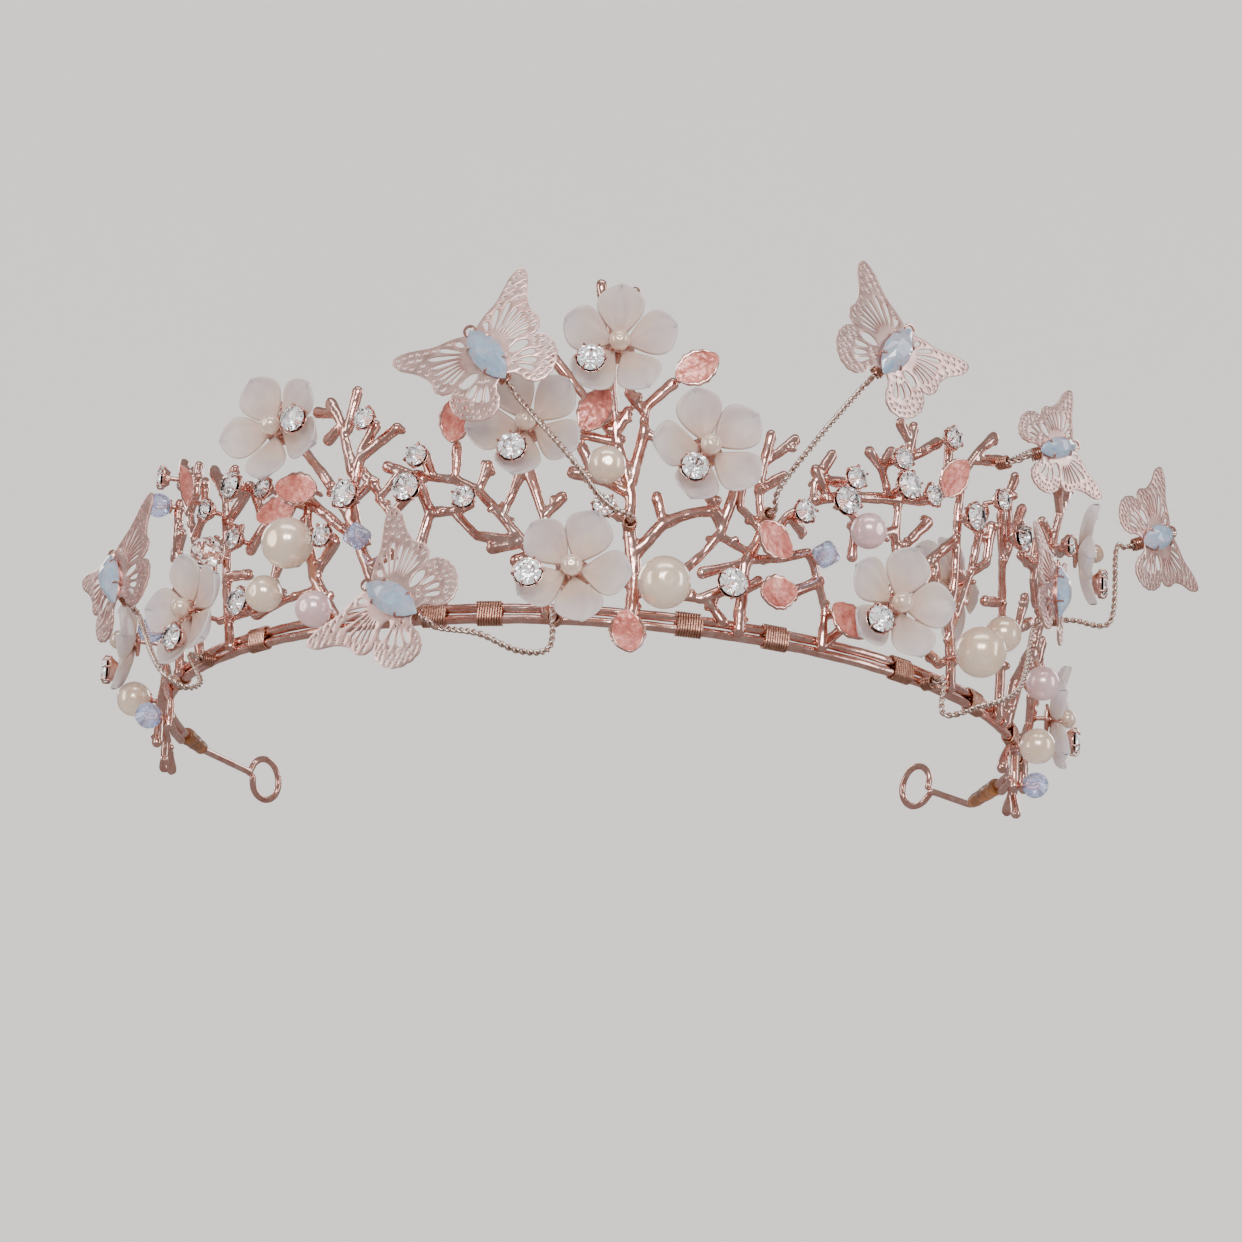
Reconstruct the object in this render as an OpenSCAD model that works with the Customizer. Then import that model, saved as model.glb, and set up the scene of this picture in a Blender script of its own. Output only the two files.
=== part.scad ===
// Bridal tiara: a springy wire headband with a crown of coral twigs, frosted flowers, pearls,
// beads, cut stones, leaves and seven butterflies that tremble on twisted stems.
// The band lies in the XY plane, open at the back, with the front at -Y and the crown towards +Z.
// Places on the crown are given as an angle from the front (positive towards +X) and a height.

/* [Band] */
// Radius of the band's circle, to the middle of the upper wire
band_r = 72; // [68:1:90]
// Diameter of each band wire
wire_d = 1.5; // [1.2:0.1:1.6]
// Gap between the upper and the lower band wire
wire_gap = 0.2; // [0.1:0.05:0.3]
// How far round the upper wire reaches on each side, in degrees from the front
band_reach = 104; // [100:1:106]
// How much sooner the lower wire ends, in degrees
lower_wire_short = 5; // [4:1:8]
// Length of each winding that binds the two wires
winding_l = 4; // [3:0.5:5]
// Wall of each winding
winding_wall = 0.35; // [0.3:0.05:0.5]

/* [Ends] */
// Outer diameter of the sleeves at the band
sleeve_d = 3; // [2.8:0.1:3.6]
// Outer diameter of the sleeves at the eyes
sleeve_end_d = 2.2; // [2:0.1:2.6]
// Length of the left sleeve
left_sleeve_l = 9; // [8:0.5:12]
// Length of the right sleeve
right_sleeve_l = 13; // [10:0.5:14]
// Play of the band wire in its sleeve
sleeve_play = 0.3; // [0.25:0.05:0.4]
// Diameter of the wire that forms each eye
eye_wire_d = 1.2; // [1:0.1:1.4]
// Radius of the hole in each eye
eye_r = 3.1; // [2.6:0.1:3.6]
// Height of the left eye over the band plane
left_eye_h = 0; // [-2:0.5:3]
// Height of the right eye over the band plane, on its bent tail
right_eye_h = 6.5; // [0:0.5:8]

/* [Crown] */
// Height of the topmost twig tip above the band
crown_h = 51; // [43:1:62]
// Distance of the twigs outside the band circle, where they are soldered to it
crown_gap = 1.2; // [1.1:0.1:1.4]
// Outward lean of the crown at the front, per millimetre of height
crown_lean = 0.075; // [0:0.005:0.12]
// Further lean at the right side, taken off at the left side
side_lean = 0.075; // [0:0.005:0.1]
// Radius of the trunks at the foot
trunk_r = 1.25; // [1:0.05:1.5]
// Radius of the boughs at the foot
bough_r = 1; // [0.8:0.05:1.2]
// Radius of the twigs at the foot
twig_r = 0.75; // [0.6:0.05:0.9]
// Radius of the thin end of every limb
limb_end_r = 0.6; // [0.5:0.05:0.7]
// Radius of the bud that ends a twig
bud_r = 0.95; // [0.8:0.05:1.1]

/* [Flowers] */
// Length of a petal, from the flower's axis to the tip
petal_l = 9.3; // [8:0.1:10]
// Width of a petal
petal_w = 7.4; // [6:0.1:7.8]
// Thickness of a petal
petal_t = 0.8; // [0.6:0.05:1]
// Radius of the hollow that cups a petal
petal_cup_r = 13; // [11:0.5:18]
// Distance from the twigs to the petals
flower_stand = 3; // [2.6:0.1:4]
// Diameter of the disc behind the petals
disc_d = 5; // [4:0.1:6]
// Angle at which the petals rise from the disc, in degrees
petal_lift = 4; // [2:0.5:8]
// Thickness of the disc
disc_t = 0.7; // [0.5:0.1:1]
// Diameter of the bead at a flower's centre
centre_bead_d = 3.2; // [2.6:0.1:3.6]

/* [Beads and stones] */
// Diameter of the large pearls
large_pearl_d = 8; // [7:0.1:8.4]
// Diameter of the small pearls
small_pearl_d = 5.8; // [5:0.1:6.2]
// Diameter of the pink beads
pink_bead_d = 5.6; // [5:0.1:6]
// Diameter of the clear bead
clear_bead_d = 5.4; // [4.6:0.1:5.8]
// Diameter and length of the opal bicones
bicone_d = 4.4; // [3.6:0.1:4.8]
// Diameter of the headpins
pin_d = 0.8; // [0.7:0.05:1]
// Play of a headpin in its bead
pin_play = 0.05; // [0.03:0.01:0.08]
// Diameter of the large stones
large_stone_d = 4.4; // [3.8:0.1:4.8]
// Diameter of the small stones
small_stone_d = 3.4; // [2.8:0.1:3.8]
// Diameter of the stones on the petals
flower_stone_d = 4.2; // [3.4:0.1:4.4]
// Wall of the stones' cups
cup_wall = 0.3; // [0.25:0.05:0.4]

/* [Leaves] */
// Length of a leaf
leaf_l = 7.4; // [6:0.1:8]
// Width of a leaf
leaf_w = 5.6; // [4:0.1:6]
// Thickness of a leaf
leaf_t = 0.6; // [0.5:0.1:0.8]

/* [Butterflies] */
// Thickness of the pressed wings
wing_t = 0.4; // [0.35:0.05:0.5]
// Angle that each pair of wings is bent back, in degrees
wing_bend = 6; // [2:1:10]
// Length of the opal on a large butterfly
opal_l = 10; // [8.5:0.1:10.5]
// Width of the opal on a large butterfly
opal_w = 4.8; // [4:0.1:5]
// Height of the opal on a large butterfly
opal_h = 2; // [1.6:0.1:2.4]
// Diameter of the twisted stems
stem_d = 1; // [0.8:0.05:1.1]
// Play of a stem in its winding and in its socket
stem_play = 0.35; // [0.3:0.05:0.45]
// Wall of the windings and sockets that hold the stems
socket_wall = 0.3; // [0.25:0.05:0.4]

/* [Hidden] */
$fn = 48;
// Facets round a twig, and round a stem
limb_fn = 7;
stem_fn = 8;
// Crown height that the heights below are stated for
stated_h = 51;
rise = crown_h / stated_h;
// Petal length that the distances of the stones on the petals are stated for
stated_petal_l = 9.3;
lower_wire_z = -wire_d - wire_gap;
// How deep a stem reaches into its winding or socket, and the depth left behind its end
stem_grip = 1.3;
stem_back = 0.5;
// Angle at which a stem leaves the back of its butterfly
socket_tilt = 32;
socket_l = stem_grip + stem_back + socket_wall;
socket_r = stem_d / 2 + stem_play + socket_wall;

// How much a limb swells and wanes along its route, as a share of its radius
swell = 0.1;
// Room under the stones on the petals
petal_gap = 0.25;
// Size of the tray under an opal, as a share of the opal's length and width
tray_share = [0.9, 0.8];
// How far an opal's tray stands over the wings
tray_gap = 0.25;

// Limb sizes: radius at the foot, radius at the end before the bud
TRUNK = [trunk_r, limb_end_r];
BOUGH = [bough_r, limb_end_r];
TWIG = [twig_r, limb_end_r];

// Each tree: its name, then its limbs, each a size and a route of [angle, height] points
TREES = [
    ["centre", [
        [TRUNK, [[4, -1], [4, 6], [3, 13], [3, 18], [1, 26], [0, 34], [0, 41], [-2, 51]]],
        [TWIG, [[0, 41], [1, 46], [2, 50]]],
        [BOUGH, [[3, 20], [4, 28], [4, 32], [7, 36]]],
        [TWIG, [[4, 28], [8, 26], [11, 25]]],
        [TWIG, [[1, 26], [-3, 27], [-8, 27]]],
        [TWIG, [[0, 28], [-3, 33], [-7, 39]]],
        [BOUGH, [[3, 18], [0, 20], [-4, 21]]],
        [TWIG, [[-1, 20], [-3, 25]]],
        [BOUGH, [[4, 9], [7, 14], [10, 16], [13, 17], [14, 14], [12, 10], [9, 6]]],
        [TWIG, [[14, 14], [15, 20]]],
        [TWIG, [[14, 13], [18, 11], [16, 9], [12, 7]]],
        [TWIG, [[4, 3], [9, 3], [13, 3], [15, 0]]],
        [TWIG, [[12, 3], [15, 5]]],
        [TWIG, [[4, 4], [0, 5], [-3, 4]]],
        [TWIG, [[3, 14], [0, 16]]],
        [TWIG, [[1, 28], [2, 31]]],
        [TWIG, [[4, 31], [2, 34]]],
        [TWIG, [[13, 17], [12, 20]]],
        [TWIG, [[7, 14], [6, 18]]]]],
    ["centre_left", [
        [BOUGH, [[-6, -1], [-8, 8], [-12, 14], [-15, 18], [-18, 20], [-23, 21], [-27, 23]]],
        [TWIG, [[-18, 20], [-18, 25]]],
        [TWIG, [[-12, 14], [-11, 17], [-10, 21]]],
        [BOUGH, [[-3, -1], [-5, 8], [-7, 14], [-9, 21]]],
        [TWIG, [[-7, 14], [-5, 17]]],
        [BOUGH, [[-23, 21], [-21, 15], [-18, 15], [-15, 11], [-10, 10]]],
        [TWIG, [[-21, 15], [-22, 10]]],
        [TWIG, [[-18, 15], [-16, 16]]],
        [TWIG, [[-25, 22], [-28, 18], [-26, 15], [-24, 18]]],
        [TWIG, [[-28, 19], [-30, 22]]],
        [TWIG, [[-15, 18], [-14, 22]]],
        [TWIG, [[-8, 8], [-10, 7]]],
        [TWIG, [[-21, 21], [-22, 24]]],
        [TWIG, [[-9, 10], [-13, 9]]]]],
    ["left", [
        [TRUNK, [[-26, -1], [-30, 10], [-32, 18], [-31, 25], [-26, 29]]],
        [BOUGH, [[-32, 23], [-34, 31], [-36, 35]]],
        [TWIG, [[-35, 33], [-38, 34]]],
        [TWIG, [[-33, 30], [-32, 36]]],
        [TWIG, [[-31, 26], [-29, 30]]],
        [BOUGH, [[-31, 14], [-35, 21], [-39, 27], [-42, 31]]],
        [TWIG, [[-32, 13], [-39, 20]]],
        [TWIG, [[-42, 31], [-45, 36], [-48, 40]]],
        [TWIG, [[-44, 35], [-42, 39]]],
        [BOUGH, [[-33, -1], [-37, 7], [-38, 12], [-39, 20], [-43, 23]]],
        [TWIG, [[-37, 7], [-34, 12]]],
        [TWIG, [[-38, 14], [-43, 15], [-47, 19], [-49, 24]]],
        [TWIG, [[-46, 18], [-49, 14]]],
        [TWIG, [[-36, 5], [-42, 4], [-47, 3]]],
        [TWIG, [[-29, 7], [-26, 9]]],
        [TWIG, [[-32, 18], [-29, 21]]],
        [TWIG, [[-34, 31], [-36, 29]]],
        [TWIG, [[-38, 12], [-40, 10]]],
        [TWIG, [[-43, 15], [-44, 19]]],
        [TWIG, [[-42, 4], [-44, 8], [-43, 11]]]]],
    ["far_left", [
        [BOUGH, [[-52, -1], [-54, 10], [-55, 20], [-56, 25], [-60, 31]]],
        [TWIG, [[-55, 20], [-50, 25]]],
        [TWIG, [[-55, 4], [-48, 4]]],
        [BOUGH, [[-60, -1], [-62, 14], [-65, 21], [-69, 27], [-75, 34], [-79, 40]]],
        [TWIG, [[-72, 31], [-68, 34]]],
        [TWIG, [[-65, 21], [-62, 25], [-63, 30]]],
        [TWIG, [[-62, 19], [-55, 17]]],
        [TWIG, [[-54, 11], [-49, 10]]],
        [TWIG, [[-62, 14], [-71, 19], [-80, 26], [-82, 34]]],
        [TWIG, [[-75, 34], [-81, 37]]],
        [BOUGH, [[-67, -1], [-69, 9], [-74, 15], [-77, 22], [-78, 29]]],
        [TWIG, [[-74, 15], [-80, 17]]],
        [TWIG, [[-77, 22], [-73, 25]]],
        [TWIG, [[-69, 9], [-65, 12], [-66, 16]]],
        [TWIG, [[-62, 8], [-58, 11], [-58, 15]]],
        [TWIG, [[-55, 20], [-52, 18]]],
        [TWIG, [[-69, 27], [-66, 29], [-66, 34]]],
        [TWIG, [[-80, 26], [-84, 25]]],
        [TWIG, [[-56, 25], [-54, 29]]]]],
    ["left_end", [
        [BOUGH, [[-74, -1], [-78, 4], [-82, 9], [-85, 14]]],
        [TWIG, [[-78, 4], [-74, 8]]],
        [BOUGH, [[-82, -1], [-88, -2], [-94, -3], [-99, -7]]],
        [TWIG, [[-94, -3], [-95, -8]]],
        [TWIG, [[-88, -2], [-91, 4]]],
        [TWIG, [[-74, -1], [-70, -5], [-70, -9]]],
        [TWIG, [[-86, -2], [-85, -7]]],
        [TWIG, [[-76, 1], [-80, -4]]],
        [TWIG, [[-81, 8], [-86, 6]]]]],
    ["centre_right", [
        [TRUNK, [[17, -1], [17, 9], [19, 15], [18, 22], [19, 30]]],
        [TWIG, [[19, 26], [22, 30]]],
        [TWIG, [[18, 21], [21, 24]]],
        [TWIG, [[17, 10], [21, 11], [25, 13], [26, 11], [28, 5], [28, -1]]],
        [TWIG, [[27, 9], [23, 6]]],
        [TWIG, [[19, 15], [16, 18], [16, 23]]],
        [TWIG, [[28, 4], [31, 5]]],
        [TWIG, [[17, 5], [19, 7]]]]],
    ["right", [
        [BOUGH, [[28, -1], [31, 3], [35, 6], [38, 12], [37, 20], [37, 26], [38, 37]]],
        [TWIG, [[38, 32], [42, 36]]],
        [BOUGH, [[37, 25], [29, 23], [25, 21], [22, 18], [20, 14]]],
        [TWIG, [[25, 21], [25, 24], [27, 29]]],
        [TWIG, [[26, 25], [29, 25]]],
        [TWIG, [[29, 22], [31, 20], [31, 14]]],
        [TWIG, [[35, 26], [34, 29], [32, 31]]],
        [TWIG, [[34, 29], [35, 32]]],
        [TWIG, [[37, 25], [41, 26], [42, 27]]],
        [TWIG, [[38, 17], [42, 23]]],
        [TWIG, [[35, 6], [42, 4], [47, 2]]],
        [TWIG, [[42, 4], [43, 9]]],
        [TWIG, [[38, 12], [42, 12], [43, 15]]],
        [TWIG, [[37, 20], [34, 18]]],
        [TWIG, [[38, 34], [36, 37]]],
        [TWIG, [[27, 22], [25, 26]]],
        [TWIG, [[22, 18], [24, 16]]]]],
    ["far_right", [
        [BOUGH, [[50, -1], [48, 9], [48, 16], [47, 26], [47, 33], [49, 37], [52, 41]]],
        [TWIG, [[49, 36], [54, 38]]],
        [TWIG, [[48, 6], [51, 18], [52, 29]]],
        [TWIG, [[47, 22], [43, 17]]],
        [BOUGH, [[63, -1], [61, 10], [58, 22], [56, 30]]],
        [TWIG, [[58, 23], [61, 33]]],
        [TWIG, [[62, 7], [55, 9]]],
        [TRUNK, [[66, -1], [68, 6], [73, 14], [75, 22], [72, 27], [74, 33], [76, 40], [80, 46]]],
        [TWIG, [[74, 33], [82, 35]]],
        [TWIG, [[75, 22], [82, 23], [84, 28]]],
        [TWIG, [[72, 26], [63, 26]]],
        [TWIG, [[73, 33], [68, 34]]],
        [TWIG, [[48, 12], [45, 13], [44, 17]]],
        [TWIG, [[47, 30], [44, 32], [44, 36]]],
        [TWIG, [[51, 18], [54, 21], [54, 27]]],
        [TWIG, [[61, 10], [65, 14], [66, 20]]],
        [TWIG, [[65, 14], [69, 17]]],
        [TWIG, [[59, 26], [57, 33], [58, 37]]],
        [TWIG, [[73, 14], [78, 13], [79, 18]]],
        [TWIG, [[76, 39], [72, 42]]],
        [TWIG, [[75, 22], [71, 21], [68, 24], [67, 30]]],
        [TWIG, [[58, 16], [55, 15]]]]],
    ["right_end", [
        [BOUGH, [[77, -1], [81, 4], [84, 9], [83, 15]]],
        [TWIG, [[77, -1], [71, -4], [67, -5], [65, -9]]],
        [TWIG, [[71, -4], [71, -10]]],
        [BOUGH, [[88, -1], [94, -1], [99, -5]]],
        [TWIG, [[91, -1], [95, 4]]],
        [TWIG, [[96, -3], [94, -7]]],
        [TWIG, [[84, 9], [88, 11]]],
        [TWIG, [[81, 4], [78, 8]]],
        [TWIG, [[86, 0], [87, -5]]]]]];

// Each flower: name, side of the twigs (1 outer, -1 inner), angle, height, further stand-off, yaw,
// spin of its first petal, then the direction and distance of the stone on its petals, if any
FLOWERS = [
    ["top", 1, 0.5, 40, 0, 0, 90, [222, 5.6]],
    ["upper_left", 1, -9, 27, 0, 0, 44, [251, 5]],
    ["upper_right", 1, 11, 25, 0, 0, 110, [239, 5]],
    ["left_high", 1, -42, 31, 0, 15, 48, [0, 4.8]],
    ["centre_low", 1, -3, 4, 2, 0, 67, [198, 6.6]],
    ["right_low", 1, 35, 6, 2, -15, 78, [222, 5.6]],
    ["right_side", 1, 82, 35, 0, 0, 60, [270, 5.4]],
    ["right_end", 1, 83, 6, 0, 0, 20, [240, 5.4]],
    ["left_side", 1, -54.5, 4, 2, 8, 100, [275, 5.2]],
    ["left_end", 1, -82, 9, 2, 0, 60, [270, 5.4]],
    ["inner", -1, 52, 17, 0, 0, 30, []]];

// Beads: angle, height, distance in front of the twigs
LARGE_PEARLS = [[7, 3, 6], [-38, 11, 5.2], [48, 3, 7]];
SMALL_PEARLS = [[0, 21, 4.2], [-42, 4, 4.2], [55, 9, 4.2], [67, -5, 5], [-82, -1, 4.4]];
PINK_BEADS = [[-34, 0, 4.4], [31, 17, 4], [68, 6, 4.4]];
CLEAR_BEADS = [[-54, 14, 4]];
BICONES = [[-81, 33, 3.5], [-29, 11, 3.5], [26, 12, 3.5], [-74, 8, 3.5], [-70, -8, 3.5], [71, -10, 3.5]];

// Stones: angle, height, distance in front of the twigs
LARGE_STONES = [[15, 5, 2], [-31, 18, 2], [-23, 18, 2], [36, 26, 2], [47, 25, 2], [57, 26, 2],
    [-47, 4, 2], [-50, 24, 2], [28, 21, 2]];
SMALL_STONES = [[-29, 30, 2], [-22, 23, 2], [-16, 16, 2], [0, 15, 1.8], [23, 18, 2], [29, 25, 2],
    [35, 30, 2], [40, 26, 2], [52, 30, 2], [-44, 22, 2], [-34, 12, 2], [-49, 15, 2], [-56, 22, 2],
    [66, 26, 2], [-81, 38, 2], [73, 32, 2], [42, 36, 2]];

// Leaves: angle, height, distance in front of the twigs, spin of the leaf
LEAVES = [[-18, 25, 2, 80], [-3, 27, 1.6, 60], [3, -1, 3, -80], [7, 36, 2, 30], [23, 6, 2, 200],
    [28, 5, 2, -40], [42, 27, 2, 60], [-39, 19, 1.6, -160], [-36, 20, 1.6, 170], [-62, 25, 2, 100],
    [22, 11, 2, 150]];

// Each butterfly: name, size, angle, height, distance outside the band circle, yaw, spin, then
// its stem: the root as [angle, height, distance in front of the twigs], and the route as
// [angle, height, distance outside]
BUTTERFLIES = [
    ["upper_left", 1, -12.5, 35, 15, 0, 38, [3, 13, 0.8], [[0, 14, 10], [-4, 20, 14]]],
    ["upper_right", 1, 31, 45, 12, 0, -30, [19, 17, 0.4], [[19, 20, 9], [23, 29, 10]]],
    ["right_high", 0.75, 58, 41, 13, -30, -69, [53, 37, 0.6], [[53, 38, 12]]],
    ["left_low", 1, -21, -2.5, 13, 0, 60, [-5, -2, -0.6], [[-5, -8, 6], [-8, -9.5, 9], [-12, -7.5, 11]]],
    ["far_right", 0.9, 81, 37.5, 22.5, -40, -62, [82, 23, 0.4], [[82, 23, 15]]],
    ["right_side", 0.9, 59, 17, 13, 10, 0, [45, -2, -0.6], [[44, -8, 6], [46, -7, 10], [52, -2, 12]]],
    ["left_side", 1, -66, 12, 14, 10, 24, [-57, -2, -0.6], [[-52, -8, 6], [-51, -10, 10], [-54, -6, 12.5]]]];

// Outline of the right wings of a large butterfly, from the head round the tips to the tail
WING = [[0, 4.4], [3, 5.8], [6, 6.8], [9.6, 8.8], [12.2, 9.3], [12.2, 7.4], [10.3, 4.8], [9.5, 2.6],
    [9.8, 0.8], [8.6, -0.8], [7, -1], [8.6, -1.8], [9.3, -3.8], [8.5, -6.2], [6.4, -7.9], [4.2, -8.2],
    [2.6, -7], [1.7, -4.9], [0, -4]];
// Slots in each wing: fan centre, then [angle, start, end, width] of each slot
FORE_FAN = [1, 1];
FORE_SLOTS = [[-9, 3.2, 7, 0.9], [4, 3.2, 7.6, 0.9], [16, 3.2, 8.4, 0.9], [28, 3.2, 8.6, 0.9],
    [41, 3.4, 7.4, 1.1], [58, 3.2, 4.8, 1]];
HIND_FAN = [0.8, -1.2];
HIND_SLOTS = [[-15, 3, 6.4, 1.1], [-33, 3, 5.8, 1.4], [-50, 2.8, 6.6, 1], [-66, 2.8, 6.2, 0.9]];
// Round holes along the wing tips: [x, y] of each
WING_HOLES = [[8, 6.6], [9.6, 7.6], [11.1, 8.2], [9, 5.4], [10.5, 6.6], [8.8, 3.6], [8.9, 1.8], [8.2, 0.1],
    [8.4, -3.2], [8, -5.2], [6.7, -6.8], [5, -7.3], [3.4, -6.6]];
wing_hole_r = 0.38;

// ---------- places ----------

function unit(v) = v / norm(v);
function turn_x(t, p) = [p.x, p.y * cos(t) - p.z * sin(t), p.y * sin(t) + p.z * cos(t)];
function turn_y(t, p) = [p.x * cos(t) + p.z * sin(t), p.y, p.z * cos(t) - p.x * sin(t)];
function turn_z(t, p) = [p.x * cos(t) - p.y * sin(t), p.x * sin(t) + p.y * cos(t), p.z];

// A point at an angle and a height, a distance outside the band's circle
function at(a, h, out = 0) = [(band_r + out) * sin(a), -(band_r + out) * cos(a), h];

// Distance of the twigs outside the band's circle at an angle and a height
function crown_out(a, h) = crown_gap + max(h, 0) * (crown_lean + side_lean * a / 90);

// A point in front of the twigs
function spot(a, h, d = 0) = at(a, h * rise, crown_out(a, h * rise) + d);

// Catmull-Rom smoothing of a route, with a number of steps from each point to the next
function smooth(p, steps) = [
    for (i = [0:len(p) - 2]) for (k = [0:steps - 1])
        let (t = k / steps, a = p[max(i - 1, 0)], b = p[i], c = p[i + 1], d = p[min(i + 2, len(p) - 1)])
        (2 * b + (c - a) * t + (2 * a - 5 * b + 4 * c - d) * t * t
            + (3 * b - 3 * c + d - a) * t * t * t) / 2,
    p[len(p) - 1]];

// Turns +Z outwards and +Y up at an angle, then by a yaw and a spin
module facing(a, yaw = 0, spin = 0) {
    rotate([0, 0, a]) rotate([90, 0, 0]) rotate([0, yaw, 0]) rotate([0, 0, spin]) children();
}

// The same turn for a point
function faced(p, a, yaw, spin) = turn_z(a, turn_x(90, turn_y(yaw, turn_z(spin, p))));

// Turns +Z to a direction
module along(v) {
    rotate([0, acos(v.z / norm(v)), atan2(v.y, v.x)]) children();
}

// A round rod between two points
module rod(p, q, r) {
    translate(p) along(q - p) cylinder(h = norm(q - p), r = r);
}

// ---------- band ----------

module band_wire(reach, z, play = 0) {
    translate([0, 0, z]) rotate([0, 0, -90 - reach]) rotate_extrude(angle = 2 * reach)
        translate([band_r, 0]) circle(d = wire_d + 2 * play);
}

module headband_upper_wire() {
    color("lightsalmon") band_wire(band_reach, 0);
}

module headband_lower_wire() {
    color("lightsalmon") band_wire(band_reach - lower_wire_short, lower_wire_z);
}

module binding_wraps() {
    play = 0.05;
    outer = wire_d / 2 + play + winding_wall;
    color("rosybrown") difference() {
        for (a = [-69, -47, -20, -13, 11, 22, 41, 57, 72, 83])
            rotate([0, 0, a]) translate([-winding_l / 2, -band_r, 0]) rotate([0, 90, 0])
                linear_extrude(winding_l) {
                    for (z = [0, lower_wire_z]) translate([-z, 0]) circle(outer);
                    translate([0, -outer * 0.9]) square([-lower_wire_z, outer * 1.8]);
                }
        for (z = [0, lower_wire_z]) band_wire(band_reach, z, play);
    }
}

// ---------- ends ----------

// Frame at the band end of a sleeve: +Z runs back along the band, side is -1 left or +1 right
sleeve_start = band_reach - 3;
function sleeve_point(side, l) = let (a = side * (sleeve_start + 3))
    at(a, 0) + side * (l - band_r * 3 * PI / 180) * [cos(a), sin(a), 0];

module sleeve(side, l) {
    wire_in = 6;
    p = sleeve_point(side, 0);
    q = sleeve_point(side, l);
    translate(p) along(q - p) difference() {
        cylinder(h = l, d1 = sleeve_d, d2 = sleeve_end_d);
        translate([0, 0, -1]) cylinder(h = wire_in + 1, r = wire_d / 2 + sleeve_play);
        translate([0, 0, 1]) cylinder(h = l, d = eye_wire_d + 2 * pin_play);
    }
}

module left_end_sleeve() {
    color("sienna") sleeve(-1, left_sleeve_l);
}

module right_end_sleeve() {
    color("sienna") sleeve(1, right_sleeve_l);
}

// A tail wire from inside its sleeve, bent once, with a round eye at its end
eye_angle = 125;
module eye(side, l, h) {
    inside = sleeve_point(side, l - 2.5);
    bend = sleeve_point(side, l + 1);
    a = side * eye_angle;
    centre = at(a, h);
    ring_r = eye_r + eye_wire_d / 3;
    neck = centre + unit(bend - centre) * ring_r;
    rod(inside, bend, eye_wire_d / 2);
    rod(bend, neck, eye_wire_d / 2 - 0.03);
    translate(bend) sphere(eye_wire_d / 2 + 0.06);
    translate(centre) facing(a) rotate_extrude() difference() {
        translate([ring_r, 0]) circle(d = eye_wire_d);
        translate([0, -eye_wire_d]) square([eye_r, 2 * eye_wire_d]);
    }
}

module left_end_eye() {
    color("lightsalmon") eye(-1, left_sleeve_l, left_eye_h);
}

module right_end_eye() {
    color("lightsalmon") eye(1, right_sleeve_l, right_eye_h);
}

// ---------- coral twigs ----------

// One limb along a route: it thins towards its end, swells and wanes a little, and ends in a bud
module limb(size, route) {
    n = len(route) - 1;
    p = [for (r = route) spot(r[0], r[1])];
    radius = [for (i = [0:n]) i == n ? bud_r
        : (size[0] + (size[1] - size[0]) * i / n) * (1 + swell * sin(97 * i + 53 * route[i][1]))];
    for (i = [0:n - 1]) hull() {
        translate(p[i]) sphere(radius[i], $fn = limb_fn);
        translate(p[i + 1]) sphere(radius[i + 1], $fn = limb_fn);
    }
}

module tree(t) {
    color("lightsalmon") for (l = t[1]) limb(l[0], l[1]);
}

// ---------- flowers ----------

// Outline of a petal or leaf: half width as a smooth function of the way from root to tip
function blade(l, w, root = 0, bulge = 1.35, n = 10) =
    let (side = [for (i = [0:n]) let (s = i / n)
        [root + (l - root) * s, w / 2 * pow(max(sin(180 * pow(s, bulge)), 0), 0.75)]])
    concat(side, [for (i = [n - 1:-1:1]) [side[i].x, -side[i].y]]);

// A blade pressed from sheet: cupped by a hollow whose lowest point lies at cup_x
module pressed(outline, t, cup_r, cup_x) {
    intersection() {
        linear_extrude(cup_r / 2) polygon(outline);
        difference() {
            translate([cup_x, 0, cup_r]) sphere(cup_r, $fn = 64);
            translate([cup_x, 0, cup_r + t]) sphere(cup_r, $fn = 64);
        }
    }
}

module on_flower(f) {
    stand = f[1] * (flower_stand + f[4]);
    translate(spot(f[2], f[3], stand)) facing(f[2], f[5] + (f[1] < 0 ? 180 : 0), f[6]) children();
}

// A place on the petals of a flower, for its stone
module on_petals(f) {
    turn = f[7][0] - f[6];
    way = f[7][1] * petal_l / stated_petal_l;
    lift = petal_t + way * way / (2 * petal_cup_r) + way * tan(petal_lift) + petal_gap;
    on_flower(f) translate([way * cos(turn), way * sin(turn), lift]) children();
}

module flower(f) {
    petals = 5;
    color("mistyrose") on_flower(f) for (i = [0:petals - 1])
        rotate([0, 0, i * 360 / petals]) rotate([0, -petal_lift - 2 * sin(140 * i), 0])
            translate([0, 0, 0.05]) pressed(blade(petal_l, petal_w, 1), petal_t, petal_cup_r, 3);
}

centre_bead_z = petal_t + 0.55 + centre_bead_d / 2;

module flower_pegs() {
    color("lightsalmon") for (f = FLOWERS) on_flower(f) {
        translate([0, 0, -disc_t]) cylinder(h = disc_t, d = disc_d);
        rod([0, 0, -flower_stand - f[4]], [0, 0, centre_bead_z], pin_d / 2);
    }
}

module flower_beads() {
    color("ivory") for (f = FLOWERS) on_flower(f) difference() {
        translate([0, 0, centre_bead_z]) sphere(d = centre_bead_d);
        cylinder(h = centre_bead_z + 0.1, r = pin_d / 2 + pin_play);
    }
}

// ---------- beads ----------

module at_bead(b) {
    translate(spot(b[0], b[1], b[2])) facing(b[0]) children();
}

// The hole from the back of a bead to just past its middle
module pin_hole(d) {
    translate([0, 0, -d]) cylinder(h = d + pin_d, r = pin_d / 2 + pin_play);
}

module beads(list, d) {
    for (b = list) at_bead(b) difference() {
        sphere(d = d);
        pin_hole(d);
    }
}

module large_pearls() {
    color("cornsilk") beads(LARGE_PEARLS, large_pearl_d);
}

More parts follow.
